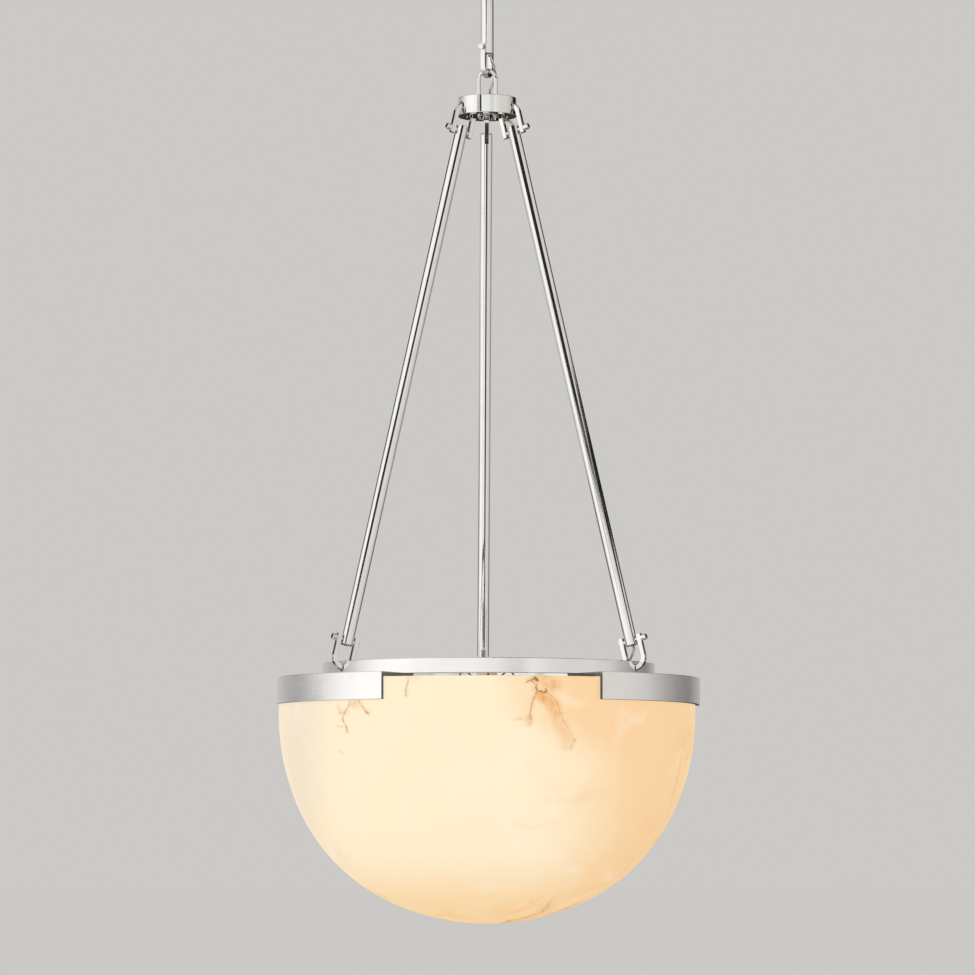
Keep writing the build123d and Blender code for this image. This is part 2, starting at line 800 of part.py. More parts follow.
# Screws through the stone into the skirts, each with a soft washer hollowed to the wall
bowl_screws = []
bowl_washers = []
for angle in rod_angles:
    for side in (-1, 1):
        outward = Plane(
            origin=(0, 0, bowl_screw_level),
            z_dir=spot(angle + side * bowl_screw_sweep / 2, 1, 0, 0),
        )
        head_place = outward.offset(bowl_inside - washer_thickness)
        with BuildPart() as washer:
            with BuildSketch(head_place):
                Circle(washer_diameter / 2)
                Circle(bowl_screw_diameter / 2 + running_clearance, mode=Mode.SUBTRACT)
            extrude(amount=2 * washer_thickness)
            with BuildSketch(Plane.XY.offset(bowl_screw_level - washer_diameter)):
                Circle(bowl_radius + washer_diameter)
                Circle(bowl_inside - shadow_gap, mode=Mode.SUBTRACT)
            extrude(amount=2 * washer_diameter, mode=Mode.SUBTRACT)
        bowl_washers.append(washer)
        bowl_screws.append(
            make_screw(
                head_place,
                bowl_screw_diameter / 2,
                washer_thickness + bowl_wall + bracket_gap + bowl_screw_bite - shadow_gap,
                bowl_screw_head_diameter / 2,
                bowl_screw_head_height,
                screw_head_edge,
            )
        )
save_group(bowl_screws, "bowl_screws")
save_group(bowl_washers, "bowl_washers")

# Lamp plate: a disc on three arms, screwed up under the flanges
with BuildPart() as lamp_plate:
    with BuildSketch(Plane.XY.offset(plate_bottom)):
        Circle(plate_radius)
        for angle in rod_angles:
            arm = spot(angle, plate_arm_reach / 2, 0, 0)
            with Locations(Location((arm.X, arm.Y), angle)):
                Rectangle(plate_arm_reach, plate_arm_width)
        for angle in rod_angles:
            for side in (-1, 1):
                hole = spot(angle, plate_screw_radius, side * plate_screw_spacing / 2, 0)
                with Locations((hole.X, hole.Y)):
                    Circle(bracket_screw_diameter / 2 + fixed_clearance, mode=Mode.SUBTRACT)
        for angle in holder_angles:
            hole = spot(angle, holder_circle_radius, 0, 0)
            with Locations((hole.X, hole.Y)):
                Circle(nipple_radius + fixed_clearance, mode=Mode.SUBTRACT)
    extrude(amount=plate_thickness)
    waist = hypot(plate_radius, plate_arm_width)
    inner_corners = lamp_plate.edges().filter_by(Axis.Z).filter_by(
        lambda e: hypot(e.center().X, e.center().Y) < waist
        and hypot(e.center().X, e.center().Y) > plate_radius - plate_arm_width / 2
    )
    fillet(inner_corners, plate_arm_fillet)
save(lamp_plate, "lamp_plate")

plate_screws = []
for angle in rod_angles:
    for side in (-1, 1):
        foot = spot(angle, plate_screw_radius, side * plate_screw_spacing / 2, plate_bottom)
        plate_screws.append(
            make_screw(
                Plane(origin=foot, z_dir=(0, 0, 1)),
                bracket_screw_diameter / 2,
                plate_screw_length,
                screw_head_diameter / 2,
                screw_head_height,
                screw_head_edge,
            )
        )
save_group(plate_screws, "plate_screws")

# Lamp holders, the hollow nipples that hold them and the bulbs, all pointing down
nipples = []
nipple_nuts = []
for number, angle in enumerate(holder_angles, 1):
    centre = spot(angle, holder_circle_radius, 0, 0)
    with BuildPart() as lamp_holder:
        with BuildSketch(Plane.XY.offset(plate_bottom)):
            with Locations((centre.X, centre.Y)):
                Circle(holder_radius - holder_lip_step)
        extrude(amount=-holder_height)
        with BuildSketch(Plane.XY.offset(holder_bottom)):
            with Locations((centre.X, centre.Y)):
                Circle(holder_radius)
        extrude(amount=holder_lip_height)
        with BuildSketch(Plane.XY.offset(holder_bottom)):
            with Locations((centre.X, centre.Y)):
                Circle(bulb_cap_radius + bulb_cap_gap)
        extrude(amount=bulb_cap_length + over, mode=Mode.SUBTRACT)
        with BuildSketch(Plane.XY.offset(plate_bottom)):
            with Locations((centre.X, centre.Y)):
                Circle(nipple_radius + fixed_clearance)
        extrude(amount=-nipple_proud, mode=Mode.SUBTRACT)
    save(lamp_holder, f"lamp_holder_{number}")

    with BuildPart() as nipple:
        with BuildSketch(Plane.XY.offset(plate_bottom - nipple_proud)):
            with Locations((centre.X, centre.Y)):
                Circle(nipple_radius)
                Circle(nipple_bore_radius, mode=Mode.SUBTRACT)
        extrude(amount=2 * nipple_proud + plate_thickness - nipple_nut_thickness / 2)
    nipples.append(nipple)
    nut_place = Plane(origin=(centre.X, centre.Y, plate_bottom + plate_thickness))
    nipple_nuts.append(
        make_nut(
            nut_place, nipple_nut_width, nipple_nut_thickness, nipple_radius + fixed_clearance
        )
    )

    # The bulb's outline: cap, neck, a tangent cone of the glass and its round end
    cap_top = holder_bottom + bulb_cap_length
    neck_level = holder_bottom - bulb_neck_length
    globe_level = cap_top - bulb_length + bulb_globe_radius
    fall = neck_level - globe_level
    reach = sqrt(fall**2 + bulb_neck_radius**2)
    tangent = radians(90) - (
        atan2(bulb_neck_radius, fall) + radians(90) - atan2(bulb_globe_radius,
        sqrt(reach**2 - bulb_globe_radius**2))
    )
    touch = (bulb_globe_radius * cos(tangent), globe_level + bulb_globe_radius * sin(tangent))
    with BuildPart() as bulb:
        with BuildSketch(Plane(origin=(centre.X, centre.Y, 0), x_dir=(1, 0, 0), z_dir=(0, -1, 0))):
            with BuildLine():
                Polyline(
                    (0, cap_top),
                    (bulb_cap_radius, cap_top),
                    (bulb_cap_radius, holder_bottom),
                    (bulb_neck_radius, neck_level),
                    touch,
                )
                ThreePointArc(
                    touch,
                    (bulb_globe_radius * cos(radians(45)),
                     globe_level - bulb_globe_radius * sin(radians(45))),
                    (0, globe_level - bulb_globe_radius),
                )
                Line((0, globe_level - bulb_globe_radius), (0, cap_top))
            make_face()
        revolve(axis=Axis((centre.X, centre.Y, 0), (0, 0, 1)))
    save(bulb, f"bulb_{number}")
save_group(nipples, "holder_nipples")
save_group(nipple_nuts, "holder_nuts")

# Round terminal box in the middle of the lamp plate, with its cover
plate_top = plate_bottom + plate_thickness
with BuildPart() as terminal_box:
    with BuildSketch(Plane.XY.offset(plate_top)):
        Circle(terminal_radius)
    extrude(amount=terminal_height)
save(terminal_box, "terminal_box")

with BuildPart() as terminal_cover:
    with BuildSketch(Plane.XY.offset(plate_top + terminal_height)):
        Circle(terminal_radius + terminal_edge)
    extrude(amount=terminal_cover_height)
    fillet(terminal_cover.faces().sort_by(Axis.Z)[-1].edges(), terminal_cover_edge)
save(terminal_cover, "terminal_cover")

# Mains cable. From the supply terminal it runs down inside the stem.
mouth = spot(loop_angle, cable_offset, 0, stem_end + cable_join_depth)
stem_cable_points = [
    mouth,
    Vector(3.4, -2.2, -240),
    Vector(1.8, -3.3, -160),
    Vector(0.3, -3.6, -90),
    Vector(0.0, -4.0, -48),
    Vector(0.0, -3.8, -28),
    Vector(0.0, -1.6, -16.5),
    Vector(0.0, 4.0, -10.4),
    Vector(0.0, 11.5, -9.2),
    Vector(0.0, 18.5, -11.6),
    Vector(0.0, 24.3, -15.2),
    Vector(0.0, supply_block_offset - cable_sleeve_gap, -16.2),
]
save(make_cable(stem_cable_points, cable_diameter, "cable_stem"), "cable_stem")


# A point beside the top link: aside along the loop's plane, behind it, and below the stem's end.
def link_spot(aside, behind, below):
    return spot(loop_angle, aside, behind, stem_end - below)


hub_drop = stem_end - hub_top
link_cable_points = [
    mouth + Vector(0, 0, -cable_sleeve_gap),
    link_spot(4.7, 0.6, 7),
    link_spot(8.7, 4.8, 19),
    link_spot(8.4, 6.3, 29),
    link_spot(3.3, 6.4, 40),
    link_spot(0.3, 6.1, 49),
    Vector(cable_entry.X, cable_entry.Y, hub_top + cable_sleeve_gap),
]
save(make_cable(link_cable_points, cable_diameter, "cable_link"), "cable_link")

# Inside the hub it bends out to the wired rod's open end.
wired = rod_angles[rod_names.index(wired_rod)]
wired_upper = shackle_frame(wired, upper_bend_radius, upper_bend_level, rod_tilt, False)
wired_lower = shackle_frame(wired, lower_bend_radius, lower_bend_level, rod_tilt, True)
rod_mouth = shackle_reach - pin_edge_distance


# A point on the cable's line in the wired rod, so far inside that end of the rod.
def rod_spot(frame, beyond):
    side = -1 if frame is wired_lower else 1
    return frame.from_local_coords((0, rod_mouth + beyond, side * cable_offset))


hub_cable_points = [
    Vector(cable_entry.X, cable_entry.Y, hub_top),
    Vector(2.5, 5.5, stem_end - 63.5),
    Vector(5.5, 4.0, stem_end - 71),
    Vector(12.5, 0.4, stem_end - 77),
    spot(wired, 22.5, 5.7, stem_end - 82),
    spot(wired, 30.5, 4.8, stem_end - 86),
    rod_spot(wired_upper, -2),
    rod_spot(wired_upper, cable_join_depth),
]
save(make_cable(hub_cable_points, cable_diameter, "cable_hub"), "cable_hub")

# Straight through the rod
with BuildPart() as cable_rod:
    start = rod_spot(wired_upper, cable_join_depth + cable_sleeve_gap)
    end = rod_spot(wired_lower, cable_join_depth + cable_sleeve_gap)
    with BuildSketch(Plane(origin=start, z_dir=end - start)):
        Circle(cable_radius)
    extrude(amount=(end - start).length)
save(cable_rod, "cable_rod")

# Out of the rod's lower end and over the ring's foot. Each step goes in by a share of the foot's
# width, aside by one of the cable's offset, and down by one of the way to the lamp plate's arm.
cable_floor = plate_top + cable_radius + shadow_gap
drop_shares = (
    (0.28, 1.21, -0.16),
    (0.61, 1.35, 0.17),
    (1.06, 1.21, 0.39),
    (1.53, 0.79, 0.61),
    (2.0, 0.37, 0.81),
    (2.58, 0.09, 1.0),
)
# Along the arm: shares of the way in, of the offset aside, and of the cable's radius up
arm_shares = (
    (0.22, 0.21, 0.07),
    (0.52, -0.21, 0.0),
    (0.79, 0.14, 0.07),
    (1.0, 0.09, 0.93),
)
arm_end_share = 3.0
terminal_step_shares = (1.83, 0.93)
foot_start = lower_bend_radius - drop_shares[-1][0] * ring_foot_width
arm_run = foot_start - arm_end_share * terminal_radius

drop_points = [rod_spot(wired_lower, cable_join_depth), rod_spot(wired_lower, -rod_mouth_step)]
for inward, aside, down in drop_shares:
    level = lower_bend_level + down * (cable_floor - lower_bend_level)
    drop_points.append(
        spot(wired, lower_bend_radius - inward * ring_foot_width, aside * cable_offset, level)
    )
for inward, aside, up in arm_shares:
    level = cable_floor + up * cable_radius
    drop_points.append(spot(wired, foot_start - inward * arm_run, aside * cable_offset, level))
drop_points += [
    spot(wired, terminal_step_shares[0] * terminal_radius, 0,
         plate_top + terminal_step_shares[1] * terminal_way_height),
    spot(wired, terminal_radius + cable_sleeve_gap, 0, plate_top + terminal_way_height),
]
save(make_cable(drop_points, cable_diameter, "cable_drop"), "cable_drop")

# Leads from the terminal box into the holders' nipples
lamp_leads = []
for angle in holder_angles:
    lead_points = [
        spot(angle, terminal_radius + cable_sleeve_gap, 0, plate_top + terminal_way_height),
        spot(angle, 18.5, 0.6, plate_top + 6.3),
        spot(angle, 25, 1.2, plate_top + 13),
        spot(angle, 31.5, 0.8, plate_top + 16),
        spot(angle, 37.2, -0.2, plate_top + 12.5),
        spot(angle, holder_circle_radius, 0, plate_top + 5.5),
        spot(angle, holder_circle_radius, 0.1, plate_top - 1),
    ]
    lamp_leads.append(make_cable(lead_points, lead_diameter, "lamp_lead"))
save_group(lamp_leads, "lamp_leads")

print("stem pin level", stem_pin_level, "loop axis level", loop_axis_level)
print("hub top", hub_top, "hub hole", hub_hole_level, "upper bend", upper_bend_level)
print("lower bend", lower_bend_level, "tilt", degrees(rod_tilt), "rod length", rod_length)
print("ring top", ring_top, "flange top", flange_top, "rim", rim_level, "bottom", bowl_bottom)
for label, frame in (("upper", wired_upper), ("lower", wired_lower)):
    print(label, "pin centre", frame.from_local_coords((0, shackle_reach, 0)), frame.x_dir)
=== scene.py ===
from math import atan2, cos, hypot, pi, radians, sin, sqrt, tau

import bmesh
import bpy
from mathutils import Matrix, Vector


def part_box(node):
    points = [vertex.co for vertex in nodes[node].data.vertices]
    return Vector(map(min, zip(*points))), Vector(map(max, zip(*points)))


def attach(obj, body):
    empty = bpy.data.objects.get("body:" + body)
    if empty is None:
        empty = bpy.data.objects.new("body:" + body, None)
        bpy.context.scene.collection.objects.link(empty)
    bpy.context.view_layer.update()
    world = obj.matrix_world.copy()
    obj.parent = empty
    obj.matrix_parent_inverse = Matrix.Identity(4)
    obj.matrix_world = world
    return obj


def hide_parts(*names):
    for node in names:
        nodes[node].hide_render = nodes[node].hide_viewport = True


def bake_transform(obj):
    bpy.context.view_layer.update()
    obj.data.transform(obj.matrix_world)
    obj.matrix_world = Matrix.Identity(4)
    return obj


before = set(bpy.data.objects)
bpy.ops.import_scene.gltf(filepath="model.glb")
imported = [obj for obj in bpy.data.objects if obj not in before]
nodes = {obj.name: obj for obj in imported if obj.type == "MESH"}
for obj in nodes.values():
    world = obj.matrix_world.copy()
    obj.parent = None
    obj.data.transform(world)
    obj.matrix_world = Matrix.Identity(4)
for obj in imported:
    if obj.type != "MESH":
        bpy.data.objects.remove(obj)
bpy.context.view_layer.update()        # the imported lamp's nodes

rods = ("back", "left", "right")
print("frame loaded with", len(nodes), "nodes")


# Shader maths: a Wire is one socket, and sums of wires add their own nodes
class Wire:
    def __init__(self, sheet, socket):
        self.sheet = sheet
        self.socket = socket

    def math(self, operation, *values, clamp=False):
        return self.sheet.math(operation, self, *values, clamp=clamp)

    def __add__(self, other):
        return self.math("ADD", other)

    def __sub__(self, other):
        return self.math("SUBTRACT", other)

    def __rsub__(self, other):
        return self.sheet.math("SUBTRACT", other, self)

    def __mul__(self, other):
        return self.math("MULTIPLY", other)

    def __truediv__(self, other):
        return self.math("DIVIDE", other)

    def __neg__(self):
        return self.math("MULTIPLY", -1.0)

    def __abs__(self):
        return self.math("ABSOLUTE")

    __radd__ = __add__
    __rmul__ = __mul__

    def least(self, other):
        return self.math("MINIMUM", other)

    def most(self, other):
        return self.math("MAXIMUM", other)

    def smooth(self, low, high, start=0.0, end=1.0):     # a soft step from start to end
        return self.sheet.node("MapRange", {"interpolation_type": "SMOOTHSTEP"},
                               {0: self, 1: low, 2: high, 3: start, 4: end})

    def band(self, centre, half, soft):                  # one inside the band, zero outside
        return 1.0 - abs(self - centre).smooth(half, half + soft)

    def other(self, output):                             # another output of the same node
        return Wire(self.sheet, self.socket.node.outputs[output])


class Sheet:                                             # the nodes of one material or of the world
    def __init__(self, tree):
        self.tree = tree
        tree.nodes.clear()

    def node(self, kind, settings=None, inputs=None, output=0):
        made = self.tree.nodes.new("ShaderNode" + kind)
        for name, value in (settings or {}).items():
            if name == "stops":
                self.fillRamp(made.color_ramp, value)
            else:
                setattr(made, name, value)
        for key, value in (inputs or {}).items():
            if isinstance(value, Wire):
                self.tree.links.new(value.socket, made.inputs[key])
            else:
                made.inputs[key].default_value = value
        return Wire(self, made.outputs[output]) if len(made.outputs) else None

    def fillRamp(self, ramp, stops):
        while len(ramp.elements) < len(stops):
            ramp.elements.new(1.0)
        for element, (place, colour) in zip(ramp.elements, stops):
            element.position = place
            element.color = (*colour, 1.0)

    def math(self, operation, *values, clamp=False):
        return self.node("Math", {"operation": operation, "use_clamp": clamp}, dict(enumerate(values)))

    def vector(self, operation, *values, output=0):
        return self.node("VectorMath", {"operation": operation}, dict(enumerate(values)), output)

    def colours(self, factor, a, b, blend="MIX"):        # the Mix node's colours are its sockets 6 and 7
        a, b = (v if isinstance(v, Wire) else (*v, 1.0) for v in (a, b))
        return self.node("Mix", {"data_type": "RGBA", "blend_type": blend}, {0: factor, 6: a, 7: b}, 2)

    def split(self, point):                              # x, y and z of a point
        made = self.node("SeparateXYZ", inputs={0: point})
        return [made.other(i) for i in range(3)]

    def place(self):                                     # a point of the lamp, in metres
        return self.node("TexCoord", output="Object")

    def stretched(self, scale, turn=(0, 0, 0)):
        return self.node("Mapping", inputs={0: self.place(), 2: turn, 3: scale})

    def noise(self, scale, detail, roughness, at=None, distortion=0.0, output="Fac"):
        return self.node("TexNoise", inputs={"Vector": at or self.place(), "Scale": scale, "Detail": detail,
                                             "Roughness": roughness, "Distortion": distortion}, output=output)

    def shake(self, scale, detail, roughness, reach):    # a push each way, of half the reach at most
        noise = self.noise(scale, detail, roughness, output="Color")
        return self.vector("MULTIPLY", self.vector("SUBTRACT", noise, (0.5, 0.5, 0.5)), (reach, reach, reach))

    def bump(self, height, strength, distance):
        return self.node("Bump", inputs={"Strength": strength, "Distance": distance, "Height": height})

    def skin(self, inputs):                              # the surface itself, joined to the output
        self.node("OutputMaterial", inputs={"Surface": self.node("BsdfPrincipled", inputs=inputs)})


def light(*levels):                                      # screen levels 0 to 255 as linear light
    lit = tuple(((v / 255 + 0.055) / 1.055) ** 2.4 for v in levels)
    return lit if len(lit) > 1 else lit[0]


def newMaterial(name):
    material = bpy.data.materials.new(name)
    material.use_nodes = True
    return material, Sheet(material.node_tree)


# Metals: a tint, a polish with smudges, and fine lines left by the polishing wheel
metalFinishes = {
    "polishedNickel": dict(tint=(0.86, 0.845, 0.82), dull=(0.80, 0.775, 0.735), rough=0.045, smudge=0.06,
                           lines=(26, 26, 900), lineDepth=0.03),
    "brushedNickel": dict(tint=(0.89, 0.875, 0.855), dull=(0.86, 0.84, 0.81), rough=0.10, smudge=0.03,
                          # brushed nickel's last tint is painted shade for the bar's end faces
                          lines=(22, 22, 1500), lineDepth=0.08, endShade=(0.10, 0.095, 0.085)),
    "turnedNickel": dict(tint=(0.86, 0.845, 0.82), dull=(0.78, 0.76, 0.73), rough=0.055, smudge=0.05,
                         lines=(160, 160, 160), lineDepth=0.012),
    "zincSteel": dict(tint=(0.60, 0.605, 0.60), dull=(0.47, 0.46, 0.42), rough=0.30, smudge=0.14,
                      lines=(60, 60, 60), lineDepth=0.20),
    "brightSteel": dict(tint=(0.66, 0.66, 0.66), dull=(0.52, 0.52, 0.52), rough=0.22, smudge=0.10,
                        lines=(120, 120, 120), lineDepth=0.15),
    "yellowBrass": dict(tint=(0.78, 0.58, 0.27), dull=(0.52, 0.37, 0.16), rough=0.20, smudge=0.12,
                        lines=(90, 90, 90), lineDepth=0.15),
}


# what all of them share: the scale of smudges and specks, the facing at which the painted end shade sets in,
# and relief in metres
metalWear = dict(smudges=38.0, smudged=(0.42, 0.72), specks=420.0, endShadeFacing=(0.5, 0.2), relief=0.0004,
                 smoothest=0.02)


def metal(name):
    finish, wear = metalFinishes[name], metalWear
    material, sheet = newMaterial(name)
    worn = sheet.noise(wear["smudges"], 5.0, 0.62).smooth(*wear["smudged"])
    specks = sheet.noise(wear["specks"], 2.0, 0.5)
    lines = sheet.noise(1.0, 4.0, 0.6, at=sheet.stretched(finish["lines"]))
    tint = sheet.colours(worn * 0.75 + specks * 0.15, finish["tint"], finish["dull"])
    rough = finish["rough"] + finish["smudge"] * worn + (lines - 0.5) * finish["smudge"] * 0.6
    if "endShade" in finish:                                 # painted shade: faces that look along the bar, its end faces, are darkened
        faced = sheet.node("TexCoord", output="Normal")
        outward = sheet.vector("NORMALIZE", sheet.vector("MULTIPLY", sheet.place(), (1.0, 1.0, 0.0)))
        ends = [abs(sheet.vector("DOT_PRODUCT", faced, way, output="Value")).smooth(*wear["endShadeFacing"])
                for way in (outward, (0.0, 0.0, 1.0))]
        tint = sheet.colours(ends[0] * ends[1] * 0.8, tint, finish["endShade"])
    grain = sheet.bump(lines + specks * 0.25, finish["lineDepth"], wear["relief"])
    sheet.skin({"Base Color": tint, "Metallic": 1.0, "Roughness": rough.most(wear["smoothest"]),
                "Normal": grain})
    return material


# Stone: lit from within, so it glows; its tints from left to right and downwards are painted light, the
# bulbs' glow through the stone, paler on the left where the key lamp falls and deeper to the right and low
# down
stone = dict(
    reflect=0.18, glow=0.84, insideGlow=1.05,
    # painted light: middle, left, right and low are the bulbs' glow through the stone, paler on the left
    # where the key lamp falls and deeper to the right and low down; line to wisp are the stone's own veins
    # and clouds
    middle=light(254, 236, 203), left=light(241, 225, 200), right=light(248, 209, 159),
    low=light(252, 215, 163), line=light(142, 94, 36), haze=light(232, 164, 84),
    pale=light(255, 245, 222), warm=light(250, 216, 166), wisp=light(246, 206, 152),
    # where one painted glow tint fades into the next, where the painted shadow band under the ring sets in,
    # and where the net of faint veins begins, in metres
    leftEdge=(-0.236, -0.165), rightEdge=(0.06, 0.18), lowGlowEdge=(-1.262, -1.350), backEdge=(-0.14, 0.02),
    ringShadowBand=(-1.17, -1.09), glowFoot=(-1.23, -1.34),
    # how far veins stray in long waves and in short ones, and the hazes' share of the long ones
    wander=0.012, ragged=0.005, hazeWander=0.9,
    # drifts, wisps and the net of faint veins: scale, then where they set in
    drifts=11.0, warmDrifts=(0.48, 0.78), paleDrifts=(0.46, 0.28), wispStretch=(14, 14, 42),
    wisps=(0.58, 0.80), net=6.5, netThreads=(0.50, 0.62), netClouds=(0.46, 0.66),
)

# veins and hazes on the side that the photograph shows, as its pixels: half width in metres, strength, points
veinPixels = [
    (0.0013, 1.0, [(535, 677.5), (537, 680)]),
    (0.0006, 0.8, [(527, 682), (533, 679), (536, 677.5)]),
    (0.0006, 0.8, [(531, 681), (537, 685), (537, 690)]),
    (0.0010, 1.0, [(536, 688), (538, 691), (545, 692)]),
    (0.0008, 0.9, [(546, 689), (548, 694)]),
    (0.0005, 0.5, [(548, 694), (553, 696)]),
    (0.0006, 0.6, [(537, 690), (533, 701), (530, 713), (531, 719)]),
    (0.0005, 0.3, [(513, 720), (521, 718), (527, 720)]),
    (0.0005, 0.35, [(555, 698), (560, 710), (563, 720), (569, 729), (574, 740), (571, 749)]),
    (0.0007, 0.45, [(574, 739), (575, 741)]),
    (0.0006, 0.35, [(551, 688), (554, 687), (556, 681)]),
    (0.0006, 0.7, [(351, 699), (349, 706), (344, 714), (343, 720), (345, 725), (347, 730)]),
    (0.0008, 0.7, [(346, 727), (347, 731)]),
    (0.0004, 0.4, [(338, 705), (339, 712), (344, 714)]),
    (0.0005, 0.6, [(359, 701), (362, 706), (367, 713)]),
    (0.0008, 0.7, [(366, 711), (368, 713)]),
    (0.0004, 0.35, [(337, 726), (343, 727)]),
    (0.0005, 0.5, [(409, 678), (407, 684), (406, 691)]),
    (0.0008, 0.45, [(406, 690), (406, 695)]),
    (0.0006, 0.3, [(340, 751), (343, 753)]),
]
hazePixels = [
    (0.0050, 1.00, [(540, 695), (543, 698)]),
    (0.0060, 0.70, [(538, 678), (548, 682), (554, 684)]),
    (0.0058, 0.78, [(547, 698), (553, 705), (557, 714)]),
    (0.0065, 0.40, [(557, 716), (564, 732), (568, 744)]),
    (0.0030, 0.55, [(529, 717), (530, 722)]),
    (0.0045, 0.50, [(352, 702), (359, 704)]),
    (0.0030, 0.35, [(347, 712), (341, 712)]),
    (0.0040, 0.30, [(410, 677), (415, 676)]),
    (0.0040, 0.11, [(545, 801), (570, 800), (590, 796)]),
    (0.0035, 0.09, [(515, 825), (534, 827), (556, 823)]),
]


def gapTo(sheet, at, points):                            # metres from the line through the points
    nearest = None
    for a, b in zip(points, points[1:]):
        along = b - a
        pace = along / along.length_squared
        share = sheet.vector("DOT_PRODUCT", at, tuple(pace), output="Value")
        share = share.math("SUBTRACT", a.dot(pace), clamp=True)
        foot = sheet.vector("MULTIPLY_ADD", share, tuple(along), tuple(a))
        gap = sheet.vector("DISTANCE", at, foot, output="Value")
        nearest = nearest.least(gap) if nearest else gap
    return nearest


def alabaster(name, glow, onBowl=None):
    material, sheet = newMaterial(name)
    at = sheet.place()
    x, y, z = sheet.split(at)
    clouds = sheet.noise(stone["drifts"], 6.0, 0.58, distortion=0.8)
    drift = (clouds - 0.5) * 0.10
    # painted light: the glow paler on the left under the key lamp, deeper and warmer to the right and low
    # down
    colour = sheet.colours((x + drift * 0.5).smooth(*stone["leftEdge"]), stone["left"], stone["middle"])
    # painted shadow band: the stone turns warmer just under the ring and brackets, where their shade falls
    glowAndShadeShift = x + drift + z.smooth(*stone["ringShadowBand"]) * 0.08 + z.smooth(*stone["glowFoot"]) * 0.04
    colour = sheet.colours(glowAndShadeShift.smooth(*stone["rightEdge"]), colour, stone["right"])
    colour = sheet.colours((z + drift * 0.3).smooth(*stone["lowGlowEdge"]), colour, stone["low"])

    tilted = sheet.stretched(stone["wispStretch"], (0.2, 0.1, 0))
    wisps = sheet.noise(1.0, 5.0, 0.6, at=tilted, distortion=1.2)
    colour = sheet.colours(clouds.smooth(*stone["warmDrifts"]) * 0.20, colour, stone["warm"])
    colour = sheet.colours(wisps.smooth(*stone["wisps"]) * 0.16, colour, stone["wisp"])
    colour = sheet.colours(clouds.smooth(*stone["paleDrifts"]) * 0.30, colour, stone["pale"])

    # a net of faint veins over the side that the photograph doesn't show
    wander = sheet.shake(26.0, 4.0, 0.6, stone["wander"])
    net = sheet.noise(stone["net"], 3.0, 0.55, at=sheet.vector("ADD", at, wander), distortion=0.5)
    patch = sheet.noise(4.0, 1.0, 0.5)
    far = y.smooth(*stone["backEdge"])
    thread = net.band(0.5, 0.0015, 0.006) * patch.smooth(*stone["netThreads"]) * far
    cloud = net.band(0.5, 0.01, 0.05) * patch.smooth(*stone["netClouds"]) * far
    if onBowl:                                           # the veins and hazes that it does show
        veined = sheet.vector("ADD", at, sheet.shake(170.0, 4.0, 0.65, stone["ragged"]))
        drawn = sheet.vector("MULTIPLY", wander, (stone["hazeWander"],) * 3)
        hazy = sheet.vector("ADD", veined, drawn)
        for half, strength, pixels in hazePixels:
            gap = gapTo(sheet, hazy, [onBowl(*p) for p in pixels])
            cloud = cloud.most(gap.smooth(half * 0.3, half * 2.2, strength, 0.0))
        for half, strength, pixels in veinPixels:
            gap = gapTo(sheet, veined, [onBowl(*p) for p in pixels])
            thread = thread.most(gap.smooth(half * 0.4, half * 2.2, strength, 0.0))
            cloud = cloud.most(gap.smooth(half, half * 9.0, strength * 0.4, 0.0))
    broken = sheet.noise(150.0, 4.0, 0.65).smooth(0.34, 0.60)
    colour = sheet.colours(cloud * (0.48 + 0.44 * broken), colour, stone["haze"])
    colour = sheet.colours(thread * (0.45 + 0.52 * broken), colour, stone["line"])
    rough = 0.30 + 0.12 * clouds + 0.06 * broken
    pits = sheet.bump(sheet.noise(260.0, 3.0, 0.6) + clouds, 0.06, 0.0006)
    base = sheet.colours(1.0, colour, (stone["reflect"],) * 3, "MULTIPLY")
    sheet.skin({"Base Color": base, "Roughness": rough, "Normal": pits, "IOR": 1.5,
                "Emission Color": colour, "Emission Strength": glow})
    return material


def plainFinish(name, tint, second, rough, scale, lumps, extra=None):
    material, sheet = newMaterial(name)
    clouds = sheet.noise(scale, 4.0, 0.6)
    specks = sheet.noise(scale * 11.0, 2.0, 0.5)
    colour = sheet.colours(clouds.smooth(0.35, 0.70) * 0.7 + specks * 0.2, tint, second)
    skin = {"Base Color": colour, "Roughness": rough + 0.12 * (clouds - 0.5),
            "Normal": sheet.bump(clouds + specks * 0.4, lumps, 0.0005)}
    skin.update(extra or {})
    sheet.skin(skin)
    return material


# Mains cable: two brown wires twisted in a clear sheath, so many turns to a metre
twist = dict(wires=2.0, turns=75.0, wireEdge=(0.30, 0.38), brown=(light(138, 104, 82), light(104, 76, 60)),
             clear=(light(214, 202, 190), light(196, 182, 168)))


def twistedCable(name):
    material, sheet = newMaterial(name)
    around, along, _ = sheet.split(sheet.node("UVMap"))
    lay = abs((around * twist["wires"] + along * twist["turns"]).math("FRACT") - 0.5)
    clouds = sheet.noise(90.0, 3.0, 0.6)
    brown = sheet.colours(clouds, *twist["brown"])
    clear = sheet.colours(clouds, *twist["clear"])
    colour = sheet.colours(lay.smooth(*twist["wireEdge"]), clear, brown)
    sheet.skin({"Base Color": colour, "Roughness": 0.20 + 0.10 * clouds,
                "Normal": sheet.bump(lay.smooth(0.1, 0.45) + clouds * 0.2, 0.12, 0.0004),
                "Coat Weight": 0.5, "Coat Roughness": 0.08})
    return material


